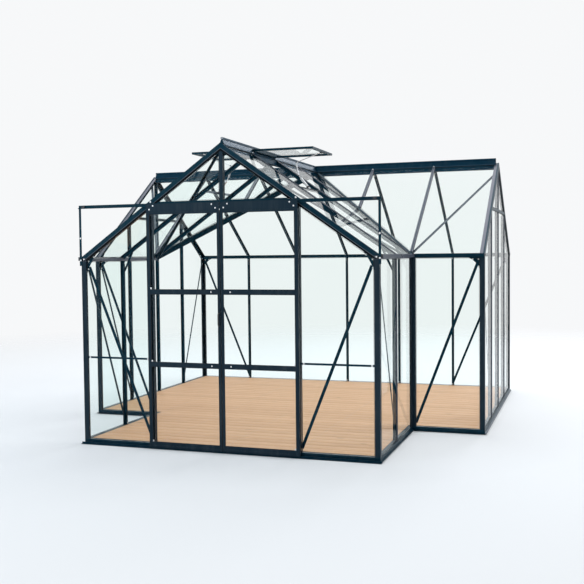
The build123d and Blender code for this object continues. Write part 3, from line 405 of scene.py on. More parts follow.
@dataclass(frozen=True)
class ClearGlass:
    """Horticultural glass with a faint green body."""

    name: str = "clear glass"
    tint: Colour = (0.962, 0.988, 0.982)
    green: Colour = (0.945, 0.980, 0.968)
    shade: float = 0.10
    bending: float = 1.05
    drift: float = 0.6

    def build(self) -> Material:
        """Make the material. Light that only falls through it passes almost whole.

        Returns:
            The material.
        """
        paint = Paint(self.name)
        tone = paint.noise(paint.place, Scale=self.drift, Detail=1.0)
        light = paint.add("ShaderNodeLightPath").outputs
        soft = paint.math("MAXIMUM", light["Is Shadow Ray"], light["Is Diffuse Ray"])
        alpha = paint.math("SUBTRACT", 1.0, paint.math("MULTIPLY", soft, 1.0 - self.shade))
        return paint.finish(paint.blend(paint.span(tone, *CORE), self.tint, self.green), 0.0,
                            {"Transmission Weight": 1.0, "IOR": self.bending, "Alpha": alpha})


@dataclass(frozen=True)
class Metal:
    """Bare metal with a fine brushed grain."""

    name: str
    colour: Colour
    roughness: float
    grain: float = 240.0
    dulling: float = 0.78

    def build(self) -> Material:
        """Make the material.

        Returns:
            The material.
        """
        paint = Paint(self.name)
        noise = paint.noise(paint.place, Scale=self.grain, Detail=3.0)
        dull = tuple(channel * self.dulling for channel in self.colour)
        return paint.finish(paint.blend(paint.span(noise, *CORE), self.colour, dull),
                            paint.span(noise, *SPREAD, self.roughness, self.roughness + 0.12), {"Metallic": 1.0})


@dataclass(frozen=True)
class Moulding:
    """Rubber or nylon with a fine texture."""

    name: str
    colour: Colour
    roughness: float
    gloss: float = 0.5
    grain: float = 700.0

    def build(self) -> Material:
        """Make the material.

        Returns:
            The material.
        """
        paint = Paint(self.name)
        peel = paint.effect(EFFECTS.peel, Grain=self.grain)["Height"]
        pale = tuple(channel * 1.7 + 0.01 for channel in self.colour)
        return paint.finish(paint.blend(paint.span(peel, 0.45, 0.75, 0.0, 0.5), self.colour, pale),
                            paint.span(peel, *SPREAD, self.roughness - 0.06, self.roughness + 0.06),
                            {"Normal": paint.bump(0.15, 0.0002, Height=peel), "Specular IOR Level": self.gloss})


@dataclass(frozen=True)
class Timber:
    """Oiled deck board; each board has its own tone."""

    name: str = "oiled deck board"
    pale: Colour = (0.80, 0.49, 0.28)
    deep: Colour = (0.60, 0.33, 0.170)
    knot: Colour = (0.19, 0.09, 0.04)

    def build(self) -> Material:
        """Make the material, with the board's number read from the mesh.

        Returns:
            The material.
        """
        paint = Paint(self.name)
        board = paint.add("ShaderNodeAttribute", attribute_name="board").outputs["Fac"]
        grain = paint.effect(EFFECTS.grain, Board=board)
        own = paint.add("ShaderNodeTexWhiteNoise", {"W": paint.math("MULTIPLY", board, 53.7)}, noise_dimensions="1D")
        veins = paint.math("ADD", paint.math("MULTIPLY", grain["Rings"], 0.42),
                           paint.math("MULTIPLY", own.outputs["Value"], 0.40))
        share = paint.math("ADD", veins, paint.math("MULTIPLY", grain["Fibre"], 0.22), clamp=True)
        knotted = paint.blend(paint.math("MULTIPLY", grain["Knots"], 0.75), paint.blend(share, self.pale, self.deep),
                              self.knot)
        height = paint.math("ADD", grain["Fibre"], paint.math("MULTIPLY", grain["Rings"], 0.4))
        return paint.finish(knotted, paint.span(grain["Fibre"], *SPREAD, 0.52, 0.68),
                            {"Normal": paint.bump(0.35, 0.0008, Height=height)})


class Palette:
    """Every material of the greenhouse, built once."""

    def __init__(self) -> None:
        """Build the materials."""
        self.coat = PowderCoat("dark powder coat", (0.0016, 0.0150, 0.0290), (0.008, 0.034, 0.056)).build()
        # painted sheen: a lighter, bluer copy of the frame coat for the ridges, standing in for the sky's sheen on
        # them
        self.ridge_sheen_coat = PowderCoat("ridge powder coat", (0.0022, 0.0250, 0.0520), (0.010, 0.050, 0.086)).build()
        self.door_coat = PowderCoat("door powder coat", (0.0060, 0.0145, 0.0240), (0.018, 0.034, 0.050), 0.32,
                                    sheen=(0.5, 0.8, 1.0)).build()
        # painted highlight: a much lighter copy of the frame coat for the rafter ribs and the roof braces, standing in
        # for light caught on them
        self.rubbed = PowderCoat("rubbed powder coat", (0.055, 0.075, 0.095), (0.11, 0.14, 0.17), 0.30, 0.5,
                                 (0.85, 0.88, 1.0)).build()
        # painted sheen: the capping strips and wing gutters get a lighter copy of the coat that stands in for the
        # sky's lavender sheen
        self.strip = PowderCoat("glazing strip", (0.050, 0.058, 0.082), (0.080, 0.090, 0.120), 0.30, 0.5,
                                (0.86, 0.88, 1.0)).build()
        self.glass = ClearGlass().build()
        self.bolt = Metal("bright bolt", (0.80, 0.81, 0.82), 0.24).build()
        self.cylinder = Metal("satin aluminium", (0.62, 0.64, 0.66), 0.34).build()
        self.rubber = Moulding("black rubber seal", (0.012, 0.013, 0.014), 0.62).build()
        # painted shade: a near-black teal strip on the lower face of each rafter stands in for its shade
        self.shade_strip = Moulding("rafter seal", (0.0005, 0.0025, 0.0045), 0.66, 0.12).build()
        self.nylon = Moulding("black nylon", (0.022, 0.023, 0.025), 0.45).build()
        # painted highlight: the pale plug at the front end of the wing ridge's bead
        self.cap = Moulding("grey end cap", (0.30, 0.31, 0.33), 0.50).build()
        self.timber = Timber().build()


# Meshes


class Shape:
    """A mesh in the making, in metres, in the row frame."""

    def __init__(self) -> None:
        """Start empty."""
        self.form = bmesh.new()

    def loft(self, rings: Sequence[Sequence[Vector]]) -> list[bmesh.types.BMFace]:
        """Skin rings of points. A ring of one point is a pole, and wider end rings are closed.

        Args:
            rings: The rings, in order.

        Returns:
            The new faces.
        """
        loops = [[self.form.verts.new(point) for point in ring] for ring in rings]
        outlines = [loops[0][::-1], loops[-1]]
        for lower, upper in zip(loops, loops[1:]):
            steps = max(len(lower), len(upper))
            for step in range(steps):
                here, after = step, (step + 1) % steps
                outlines.append([lower[here % len(lower)], lower[after % len(lower)], upper[after % len(upper)],
                                 upper[here % len(upper)]])
        unique = (list(dict.fromkeys(outline)) for outline in outlines)
        return [self.form.faces.new(corners) for corners in unique if len(corners) > 2]

    def prism(self, outline: Outline, origin: Vector, across: Vector, upward: Vector, length: float) -> None:
        """Extrude a flat outline.

        Args:
            outline: Its corners, in order.
            origin: Where the outline's own zero lies.
            across: Direction of its first axis.
            upward: Direction of its second axis.
            length: How far it is extruded, along across x upward.
        """
        run = across.cross(upward).normalized() * length
        near = [origin + across * x + upward * y for x, y in outline]
        self.loft((near, [point + run for point in near]))

    def block(self, low: Point, high: Point, bevel: float) -> None:
        """Box between two corners, with its edges rounded.

        Args:
            low: Lowest corner.
            high: Highest corner.
            bevel: Radius of its edges.
        """
        corners = ((low[0], low[1]), (high[0], low[1]), (high[0], high[1]), (low[0], high[1]))
        faces = self.loft([[Vector((x, y, z)) for x, y in corners] for z in (low[2], high[2])])
        edges = list({edge for face in faces for edge in face.edges})
        bmesh.ops.bevel(self.form, geom=edges, offset=bevel, segments=2, profile=0.5, affect="EDGES")

    def lathe(self, profile: Outline, origin: Vector, axis: Vector, steps: int = 14) -> None:
        """Turn a profile round an axis; it starts and ends on the axis.

        Args:
            profile: Radius and height of each point.
            origin: Height zero on the axis.
            axis: The axis.
            steps: Points round the axis.
        """
        axis = axis.normalized()
        side = axis.orthogonal().normalized()
        other = axis.cross(side)
        turns = [math.tau * step / steps for step in range(steps)]
        ways = [side * math.cos(turn) + other * math.sin(turn) for turn in turns]
        self.loft([[origin + axis * height + way * radius for way in (ways if radius > 0.0 else ways[:1])]
                   for radius, height in profile])

    def sweep(self, path: Sequence[Vector], outline: Outline, side: Vector) -> None:
        """Carry an outline along an open path with mitred corners.

        Args:
            path: Points of the path.
            outline: Outline across the path: along side, and along path x side.
            side: A direction that no stretch of the path follows.
        """
        rings = []
        for index, point in enumerate(path):
            before = (point - path[index - 1]).normalized() if index else (path[1] - point).normalized()
            after = (path[index + 1] - point).normalized() if index + 1 < len(path) else before
            turn = (before + after).normalized()
            across = (side - turn * side.dot(turn)).normalized()
            normal = turn.cross(across)
            mitre = 1.0 / max(0.35, turn.dot(before))
            wide, high = (mitre if abs((after - before).dot(way)) > TINY else 1.0 for way in (across, normal))
            rings.append([point + across * x * wide + normal * y * high for x, y in outline])
        self.loft(rings)

    def mesh(self, name: str = "shape") -> Mesh:
        """Store the shape with its doubles merged and its normals outwards. It is freed.

        Args:
            name: The mesh's name.

        Returns:
            The mesh.
        """
        bmesh.ops.remove_doubles(self.form, verts=self.form.verts, dist=MERGE)
        bmesh.ops.recalc_face_normals(self.form, faces=self.form.faces)
        mesh = bpy.data.meshes.new(name)
        self.form.to_mesh(mesh)
        self.form.free()
        return mesh

    def pattern(self, name: str) -> bpy.types.Object:
        """Object in no collection, for a tree to repeat."""
        return bpy.data.objects.new(name, self.mesh(name))


def mount(mesh: Mesh, name: str, material: Material, body: Body = Body.FRAME,
          smooth: float = 40.0, replaces: Sequence[str] = ()) -> None:
    """Make an object of a mesh and let it ride on its body.

    Args:
        mesh: The mesh, in metres, in the row frame.
        name: The object's name.
        material: Its finish.
        body: The body it moves with.
        smooth: Angle in degrees under which neighbouring faces are shaded smooth.
        replaces: Nodes of the frame that it stands for.
    """
    mesh.name = name
    mesh.materials.clear()
    mesh.materials.append(material)
    mesh.shade_smooth()
    mesh.set_sharp_from_angle(angle=math.radians(smooth))
    piece = bpy.data.objects.new(name, mesh)
    bpy.context.scene.collection.objects.link(piece)
    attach(piece, body.value)
    if replaces:
        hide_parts(*replaces)
    LOG.info("%s rides on %s: %d faces", name, body.value, len(mesh.polygons))


@dataclass(frozen=True)
class Face:
    """A flat face of the frame."""

    corners: list[Vector]
    normal: Vector
    area: float

    @property
    def middle(self) -> Vector:
        """Mean of the corners."""
        return sum(self.corners, Vector()) / len(self.corners)

    @property
    def run(self) -> Vector:
        """Direction of the first edge."""
        return (self.corners[1] - self.corners[0]).normalized()

    def inset(self, distance: float) -> list[Vector]:
        """Corners moved inwards from both edges that meet there.

        Args:
            distance: Distance from each edge.

        Returns:
            The moved corners.
        """
        moved = []
        for index, here in enumerate(self.corners):
            before = self.normal.cross((here - self.corners[index - 1]).normalized())
            after = self.normal.cross((self.corners[(index + 1) % len(self.corners)] - here).normalized())
            inward = (before + after).normalized() if (before + after).length > TINY else before
            moved.append(here + inward * (distance / max(0.25, inward.dot(before))))
        return moved


def plain_faces(node: str) -> list[Face]:
    """Flat faces of a node of the frame, from a merged copy of its mesh.

    Args:
        node: Name of the node.

    Returns:
        The faces.
    """
    form = bmesh.new()
    form.from_mesh(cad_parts[node].data)
    bmesh.ops.remove_doubles(form, verts=form.verts, dist=MERGE)
    bmesh.ops.dissolve_limit(form, angle_limit=math.radians(1.0), verts=form.verts, edges=form.edges)
    faces = [Face([vert.co.copy() for vert in face.verts], face.normal.copy(), face.calc_area())
             for face in form.faces]
    form.free()
    return faces


# Geometry node trees


class Grower:
    """Geometry node trees for what repeats, and the plain meshes they give."""

    def __init__(self) -> None:
        """Build each tree once."""
        self.fixings = self._fixings()
        self.beads = self._beads()
        self.boards = self._boards()

    @staticmethod
    def _start(name: str, inputs: dict[str, object]) -> tuple[Tree, Sockets]:
        """Start a tree that takes a geometry first and its material last."""
        return new_group(name, "GeometryNodeTree", {"Geometry": "Geometry", **inputs, "Material": "Material"})

    @staticmethod
    def _end(grower: Tree, geometry: NodeSocket, given: Sockets) -> NodeTree:
        """Realize what was placed, give it its material and close the tree.

        Args:
            grower: The tree.
            geometry: What it makes.
            given: What its Group Input gives.

        Returns:
            The finished node tree.
        """
        real = grower.add("GeometryNodeRealizeInstances", {"Geometry": geometry}).outputs["Geometry"]
        dress = grower.add("GeometryNodeSetMaterial", {"Geometry": real, "Material": given["Material"]})
        return grower.close(Geometry=dress.outputs["Geometry"])

    def _fixings(self) -> NodeTree:
        """A head on every point, turned to the point's facing and spun by chance.

        Returns:
            The node tree.
        """
        grower, given = self._start("fixings", {"Head": "Object", "Head Scale": 1.0, "Spin": math.tau, "Seed": SEED})
        head = grower.add("GeometryNodeObjectInfo", {"Object": given["Head"]}, transform_space="ORIGINAL")
        facing = grower.add("GeometryNodeInputNamedAttribute", {"Name": "facing"}, data_type="FLOAT_VECTOR")
        turned = grower.add("FunctionNodeAlignRotationToVector", {"Vector": facing.outputs["Attribute"]}, axis="Z")
        chance = grower.add("FunctionNodeRandomValue", {3: given["Spin"], "Seed": given["Seed"]}, data_type="FLOAT")
        spin = grower.add("FunctionNodeAxisAngleToRotation", {"Axis": tuple(UP), "Angle": chance.outputs[1]})
        both = grower.add("FunctionNodeRotateRotation", {"Rotation": turned.outputs["Rotation"],
                                                         "Rotate By": spin.outputs["Rotation"]},
                          rotation_space="LOCAL")
        size = grower.add("ShaderNodeCombineXYZ", {axis: given["Head Scale"] for axis in "XYZ"})
        placed = grower.add("GeometryNodeInstanceOnPoints", {
            "Points": given["Geometry"], "Instance": head.outputs["Geometry"], "Rotation": both.outputs["Rotation"],
            "Scale": size.outputs["Vector"]})
        return self._end(grower, placed.outputs["Instances"], given)

    def _beads(self) -> NodeTree:
        """A round bead along every run of edges.

        Returns:
            The node tree.
        """
        grower, given = self._start("beads", {"Radius": 0.0016, "Sides": 6})
        curve = grower.add("GeometryNodeMeshToCurve", {"Mesh": given["Geometry"]})
        circle = grower.add("GeometryNodeCurvePrimitiveCircle", {"Resolution": given["Sides"],
                                                                 "Radius": given["Radius"]})
        solid = grower.add("GeometryNodeCurveToMesh", {
            "Curve": curve.outputs["Curve"], "Profile Curve": circle.outputs["Curve"], "Fill Caps": True})
        return self._end(grower, solid.outputs["Mesh"], given)

    def _boards(self) -> NodeTree:
        """One board at every step across a floor, each numbered for its own grain.

        Returns:
            The node tree.
        """
        grower, given = self._start("boards", {"Board": "Object", "Count": 4, "Start": "Vector", "Step": "Vector",
                                               "First Number": 0})
        line = grower.add("GeometryNodeMeshLine", {"Count": given["Count"], "Start Location": given["Start"],
                                                   "Offset": given["Step"]}, mode="OFFSET", count_mode="TOTAL")
        board = grower.add("GeometryNodeObjectInfo", {"Object": given["Board"]}, transform_space="ORIGINAL")
        placed = grower.add("GeometryNodeInstanceOnPoints", {"Points": line.outputs["Mesh"],
                                                             "Instance": board.outputs["Geometry"]})
        number = grower.math("ADD", grower.add("GeometryNodeInputIndex").outputs["Index"], given["First Number"])
        stored = grower.add("GeometryNodeStoreNamedAttribute", {
            "Name": "board", "Geometry": placed.outputs["Instances"], "Value": number}, data_type="FLOAT",
                            domain="INSTANCE")
        return self._end(grower, stored.outputs["Geometry"], given)

    @staticmethod
    def grow(seed: Mesh, tree: NodeTree, values: dict[str, object]) -> Mesh:
        """Run a tree on a mesh.

        Args:
            seed: The mesh that it starts from.
            tree: The tree.
            values: Its inputs, by name.

        Returns:
            The plain mesh that it gives.
        """
        holder = bpy.data.objects.new("seed", seed)
        bpy.context.scene.collection.objects.link(holder)
        modifier = holder.modifiers.new("grow", "NODES")
        modifier.node_group = tree
        for item in tree.interface.items_tree:
            if item.item_type == "SOCKET" and item.in_out == "INPUT" and item.name in values:
                modifier[item.identifier] = values[item.name]
        graph = bpy.context.evaluated_depsgraph_get()
        mesh = bpy.data.meshes.new_from_object(holder.evaluated_get(graph), depsgraph=graph)
        holder.modifiers.remove(modifier)
        bpy.data.objects.remove(holder)
        return mesh

    def bead(self, runs: Iterable[Sequence[Vector]], radius: float, material: Material, sides: int = 6,
             closed: bool = False) -> Mesh:
        """Grow a bead along runs of points.

        Args:
            runs: Points of each run.
            radius: Radius of the bead.
            material: Its finish.
            sides: Points round the bead.
            closed: Whether each run ends where it starts.

        Returns:
            The plain mesh.
        """
        points: list[Vector] = []
        edges: list[tuple[int, int]] = []
        for run in runs:
            start, count = len(points), len(run)
            points += run
            edges += [(start + step, start + (step + 1) % count) for step in range(count if closed else count - 1)]
        seed = bpy.data.meshes.new("seed")
        seed.from_pydata(points, edges, [])
        return self.grow(seed, self.beads, {"Radius": radius, "Sides": sides, "Material": material})


GROWER = Grower()


# Sub-assemblies


class Head(Enum):
    """Heads of the fastenings: profiles turned round their axis above z = 0, with the points round it."""

    BOLT = ((((0.0, -0.0006), (0.0074, -0.0006), (0.0074, 0.0009), (0.0056, 0.0010), (0.0054, 0.0024),
              (0.0038, 0.0038), (0.0, 0.0043)), 14),)
    NUT = ((((0.0, -0.0006), (0.0070, -0.0006), (0.0070, 0.0010), (0.0, 0.0010)), 14),
           (((0.0, 0.0008), (0.0062, 0.0010), (0.0062, 0.0044), (0.0054, 0.0052), (0.0, 0.0052)), 6),
           (((0.0, 0.0050), (0.0030, 0.0050), (0.0030, 0.0078), (0.0024, 0.0084), (0.0, 0.0084)), 8))
    SCREW = ((((0.0, -0.0008), (0.0042, -0.0008), (0.0042, 0.0003), (0.0019, 0.0006), (0.0013, -0.0004),
               (0.0, -0.0004)), 10),)
    TUFT = ((((0.0, 0.0), (0.0016, 0.0), (0.0023, 0.0050), (0.0, 0.0055)), 5),)


@dataclass(frozen=True)
class Fixing:
    """Place of one fastening and the way its head faces."""

    place: Vector
    facing: Vector


def grow_heads(name: str, head: Head, material: Material, fixings: Sequence[Fixing],
               body: Body = Body.FRAME, size: float = 1.0) -> None:
    """Place a set of heads as one object.

    Args:
        name: Name of the set.
        head: Which head.
        material: Their finish.
        fixings: Where they are.
        body: The body they are on.
        size: Scale of the head.
    """
    shape = Shape()
    for profile, steps in head.value:
        shape.lathe(profile, Vector(), UP, steps)
    seed = bpy.data.meshes.new("seed")
    seed.from_pydata([fixing.place for fixing in fixings], [], [])
    facing = seed.attributes.new("facing", "FLOAT_VECTOR", "POINT")
    for item, fixing in zip(facing.data, fixings):
        item.vector = fixing.facing
    mesh = GROWER.grow(seed, GROWER.fixings, {
        "Head": shape.pattern(f"{head.name.lower()} pattern"), "Head Scale": size, "Spin": math.tau, "Seed": SEED,
        "Material": material})
    mount(mesh, name, material, body, 35.0)


@dataclass
class Fitting:
    """A sub-assembly, which takes its finishes from the palette."""

    palette: Palette


@dataclass
class Floors(Fitting):
    """Slatted floors of both wings on their joists."""

    thickness: float = 0.026
    pitch: float = 0.118
    gap: float = 0.005
    rounding: float = 0.003
    joist_width: float = 0.045
    joist_step: float = 0.62
    joist_inset: float = 0.01
    joist_round: float = 0.002
    joist_play: float = 0.002
    clearance: float = 0.0002
    screws: tuple[float, float] = (0.22, 0.78)

    def build(self) -> None:
        """Lay the boards, the joists and the screws of each room."""
        number = 0
        for room in ("wing_floor", "main_floor"):
            low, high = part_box(room)
            bays = max(2, round((high.x - low.x) / self.joist_step))
            inset = self.joist_width / 2 + self.joist_inset
            lines = [low.x + inset + (high.x - low.x - 2 * inset) * bay / bays for bay in range(bays + 1)]
            number += self._boards(room, lines, number)
            self._joists(room, lines)

    def _boards(self, room: str, lines: Sequence[float], number: int) -> int:
        """Lay a room's boards and screw them down.

        Args:
            room: Name of the floor's node.
            lines: X of each joist.
            number: Number of its first board.

        Returns:
            How many boards it has.
        """
        low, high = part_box(room)
        span = high.y - low.y + self.gap
        count = round(span / self.pitch)
        step = span / count
        width = step - self.gap
        shape = Shape()
        shape.block((low.x, 0.0, -self.thickness), (high.x, width, 0.0), self.rounding)
        mesh = GROWER.grow(bpy.data.meshes.new("seed"), GROWER.boards, {
            "Board": shape.pattern("board pattern"), "Count": count, "Start": (0.0, low.y, high.z),
            "Step": (0.0, step, 0.0), "First Number": number, "Material": self.palette.timber})
        mount(mesh, f"{room}_boards", self.palette.timber, Body.FRAME, 40.0, (room,))
        grow_heads(f"{room}_screws", Head.SCREW, self.palette.cylinder,
                   [Fixing(Vector((x, low.y + step * row + width * share, high.z)), UP)
                    for x in lines for row in range(count) for share in self.screws])
        return count

    def _joists(self, room: str, lines: Sequence[float]) -> None:
        """Put the joists under a room's boards.

        Args:
            room: Name of the floor's node.
            lines: X of each joist.
        """
        shape = Shape()
        low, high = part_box(room)
        half = self.joist_width / 2
        for x in lines:
            shape.block((x - half, low.y + self.joist_play, 0.0),
                        (x + half, high.y - self.joist_play, high.z - self.thickness - self.clearance),
                        self.joist_round)
        mount(shape.mesh(), f"{room}_joists", self.palette.timber)


@dataclass
class Fastenings(Fitting):
    """Bolts and nuts of the fixed frame."""

    gable_bolts: tuple[Point, ...] = (
        (PLAN.track_half - 0.010, PLAN.face + 0.004, 1.556), (PLAN.track_half - 0.010, PLAN.face + 0.004, 1.742),
        (0.628, PLAN.face, 2.030), (1.262, PLAN.face, 1.564), (0.678, 0.006, 0.737), (1.222, 0.006, 0.737))
    plate_bolts: Outline = ((0.15, 0.12), (0.66, 0.11), (0.12, 0.72))
    plate: float = 0.008
    plate_back: float = 0.011
    bar_back: float = 0.032
    bar_levels: tuple[float, float] = (PLAN.sill + 0.018, PLAN.wall_top - 0.020)
    lip: tuple[float, float] = (0.0270, -0.0043)
    near_ridge: float = 0.075
    near_eave: float = 0.050
    side_edge: float = 1.2437
    rafter_depth: float = 0.045
    corner_lip: float = 0.028
    reach: float = 0.100
    drop: float = 0.105
    bolts: list[Fixing] = field(default_factory=list)
    nuts: list[Fixing] = field(default_factory=list)

    def build(self) -> None:
        """Collect every place and set the heads."""
        self._gable()
        self._walls()
        self._roofs()
        self._gussets()
        grow_heads("frame_bolts", Head.BOLT, self.palette.bolt, self.bolts)
        grow_heads("frame_nuts", Head.NUT, self.palette.bolt, self.nuts)

    def _gable(self) -> None:
        """Bolts that show on the front gable, its tie and its struts, on both sides."""
        for x, out, z in self.gable_bolts:
            self.bolts += [Fixing(Vector((sense * x, PLAN.front - out, z)), Facing.FRONT.outward)
                           for sense in (1, -1)]

    def _walls(self) -> None:
        """Nuts at the foot and head of each wall bar, on its inner side."""
        stations = [(side, side.outward * PLAN.half_wing + Facing.BACK.outward * (PLAN.front + PLAN.pitch))
                    for side in SIDES]
        stations += [(Facing.BACK, Vector((step * PLAN.pitch, PLAN.rear, 0.0))) for step in range(-2, 3)]
        stations += [(side, Vector((side.outward.x * PLAN.half_main, PLAN.ridge + step * PLAN.pitch, 0.0)))
                     for side in SIDES for step in (-1, 0, 1)]
        for facing, base in stations:
            for z in self.bar_levels:
                self.nuts.append(Fixing(base - facing.outward * self.bar_back + UP * z, -facing.outward))

    def _roofs(self) -> None:
        """Nuts near both ends of each roof bar, on its underside, and a bolt on the ridge's lip."""
        both = (self.near_ridge, PLAN.slope - self.near_eave)
        rows = [(side, Vector((0.0, PLAN.front + PLAN.pitch, 0.0)), both) for side in SIDES]
        rows += [(Facing.BACK, Vector((step * PLAN.pitch, PLAN.ridge, 0.0)), both) for step in range(-2, 3)]
        rows += [(Facing.FRONT, Vector((step * PLAN.pitch, PLAN.ridge, 0.0)), both[:1]) for step in (-2, -1, 1, 2)]
        for facing, base, distances in rows:
            crown, off = base + UP * PLAN.apex, PLAN.off(facing)
            self.nuts += [Fixing(crown + PLAN.down(facing) * distance - off * self.bar_back, -off)
                          for distance in distances]
            self.bolts.append(Fixing(crown + facing.outward * self.lip[0] + UP * self.lip[1], off))

    def _plate(self, base: Vector, facing: Facing, arm: Vector) -> None:
        """Three bolts through a corner plate, with a nut behind each.

        Args:
            base: The plate's corner on the wall's grid plane.
            facing: The way the wall faces.
            arm: The plate's edge along the head.
        """
        for share, fall in self.plate_bolts:
            place = base + arm * share - UP * self.drop * fall
            self.bolts.append(Fixing(place - facing.outward * self.plate, facing.outward))
            self.nuts.append(Fixing(place - facing.outward * self.plate_back, -facing.outward))

    def _gussets(self) -> None:
        """Bolts of every corner plate."""
        lean = math.tan(PLAN.roof_angle)
        under = PLAN.apex - self.side_edge * lean - self.rafter_depth / math.cos(PLAN.roof_angle) + 0.002
        gables = [(Facing.FRONT, Vector((0.0, PLAN.front, under)))]
        gables += [(side, Vector((side.outward.x * PLAN.half_main, PLAN.ridge, under))) for side in SIDES]
        for facing, middle in gables:
            for outward in (facing.along, -facing.along):
                self._plate(middle + outward * self.side_edge, facing, UP * (self.reach * lean) - outward * self.reach)
        corners = ((Facing.RIGHT, (PLAN.half_wing, PLAN.front, PLAN.wall_top), 1),
                   (Facing.FRONT, (PLAN.half_main, PLAN.inner, PLAN.wall_top), -1),
                   (Facing.BACK, (PLAN.half_main, PLAN.rear, PLAN.wall_top), 1))
        for facing, corner, sense in corners:
            for mirror in (1, -1):
                flip = Matrix.Diagonal((mirror, 1.0, 1.0))
                side = Facing.LEFT if facing is Facing.RIGHT and mirror < 0 else facing
                run = flip @ (facing.along * sense)
                self._plate(flip @ Vector(corner) + run * self.corner_lip, side, run * self.reach)


@dataclass
class Rafters(Fitting):
    """Rib along each gable rafter, where its lower face turns in, and a near-black strip below it that paints the
    shade of the lower face.
    """

    turn: float = 0.027
    depth: float = 0.045
    lean: float = 0.008
    radius: float = 0.0024
    strip: float = 0.0014
    reach: float = 1.270

    def build(self) -> None:
        """Run a rib and a strip down both rafters of each gable."""
        gables = [(Facing.FRONT, Vector((0.0, PLAN.front, PLAN.apex)), SIDES)]
        gables += [(side, Vector((side.outward.x * PLAN.half_main, PLAN.ridge, PLAN.apex)),
                    (Facing.FRONT, Facing.BACK)) for side in SIDES]
        low, high = self.turn + self.radius, self.depth - 0.0005
        per = self.lean / (self.depth - self.turn)
        section = ((low, 0.0), (low, self.strip), (high, self.strip), (high, 0.0))
        ribs, shape = [], Shape()
        for gable, crown, slopes in gables:
            for slope in slopes:
                ribs.append([self._point(gable, crown, slope, across, 0.0, self.turn) for across in (0.0, self.reach)])
                shape.loft([[self._point(gable, crown, slope, across, lift - (below - self.turn) * per, below)
                             for below, lift in section] for across in (0.0, self.reach)])
        # the ribs take the lighter coat as a painted highlight along each rafter
        mount(GROWER.bead(ribs, self.radius, self.palette.rubbed, 8), "rafter_ribs", self.palette.rubbed, smooth=60.0)
        # painted shade strip on the lower face of each rafter
        mount(shape.mesh(), "rafter_strips", self.palette.shade_strip)

    @staticmethod
    def _point(gable: Facing, crown: Vector, slope: Facing, across: float, out: float, below: float) -> Vector:
        """Point on a rafter's face.

        Args:
            gable: The way the gable faces.
            crown: The meeting line of the panes at the gable.
            slope: The way the rafter's slope faces.
            across: Level distance from the middle of the gable.
            out: Distance out of the rafter's face.
            below: Distance below the panes, square to the slope.

        Returns:
            The point.
        """
        along = (across + below * math.sin(PLAN.roof_angle)) / math.cos(PLAN.roof_angle)
        return crown + gable.outward * (PLAN.face + out) + PLAN.down(slope) * along - PLAN.off(slope) * below


@dataclass
class WingBraces(Fitting):
    """Angle brace under each slope of the front wing, from the gable's apex to the inner corner."""

    depth: float = 0.0352
    thickness: float = 0.003
    width: float = 0.020
    leg: float = 0.014
    head: tuple[float, float] = (0.085, 0.034)
    foot: tuple[float, float] = (0.045, 0.022)

    def build(self) -> None:
        """Run both braces."""
        shape = Shape()
        half, back = self.width / 2, Facing.BACK.outward
        section = [(-half, -self.leg), (self.thickness - half, -self.leg), (self.thickness - half, 0.0),
                   (half, 0.0), (half, self.thickness), (-half, self.thickness)]
        for slope in SIDES:
            down, off = PLAN.down(slope), PLAN.off(slope)
            crown = Vector((0.0, PLAN.front, PLAN.apex)) - off * self.depth
            start = crown + down * self.head[0] + back * self.head[1]
            end = crown + down * (PLAN.slope - self.foot[0]) + back * (2 * PLAN.pitch - self.foot[1])
            shape.prism(section, start, off.cross((end - start).normalized()), off, (end - start).length)
        mount(shape.mesh(), "wing_roof_angles", self.palette.coat, smooth=30.0)


@dataclass
class Glazing(Fitting):
    """Rubber seals along the outer edges of every pane."""

    radius: float = 0.0016
    inset: float = 0.0048
    door_inset: float = 0.0126
    smallest: float = 0.010
    sunk: float = 0.7
    roof_normal: float = 0.3
    wall_normal: float = 0.9

    def build(self) -> None:
        """Run a bead round each pane of the frame and of the doors."""
        fixed = sorted(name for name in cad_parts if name.endswith("_glass") and "door" not in name)
        self._seal("frame_seals", Body.FRAME, fixed, self.inset)
        for body in (Body.LEFT_DOOR, Body.RIGHT_DOOR):
            self._seal(f"{body.value}_seals", body, [f"{body.value}_glass"], self.door_inset)

    def _outward(self, face: Face) -> bool:
        """Whether a pane's face looks out of the building.

        Args:
            face: The face.

        Returns:
            True for the outer face of a roof or wall pane.
        """
        normal, middle = face.normal, face.middle
        if normal.z > self.roof_normal:
            return True
        if abs(normal.x) > self.wall_normal:
            return normal.x * middle.x > 0.0
        return abs(normal.y) > self.wall_normal and (normal.y < 0.0) == (middle.y < 0.0)

    def _seal(self, name: str, body: Body, nodes: Sequence[str], inset: float) -> None:
        """Make the beads of one body.

        Args:
            name: Name of the piece.
            body: The body it rides on.
            nodes: Glass nodes that are sealed.
            inset: How far inside the panes' edges the beads run.
        """
        panes = [face for node in nodes for face in plain_faces(node)
                 if face.area >= self.smallest and self._outward(face)]
        runs = [[corner + pane.normal * (self.radius * self.sunk) for corner in pane.inset(inset)] for pane in panes]
        mount(GROWER.bead(runs, self.radius, self.palette.rubber, closed=True), name, self.palette.rubber, body, 60.0)


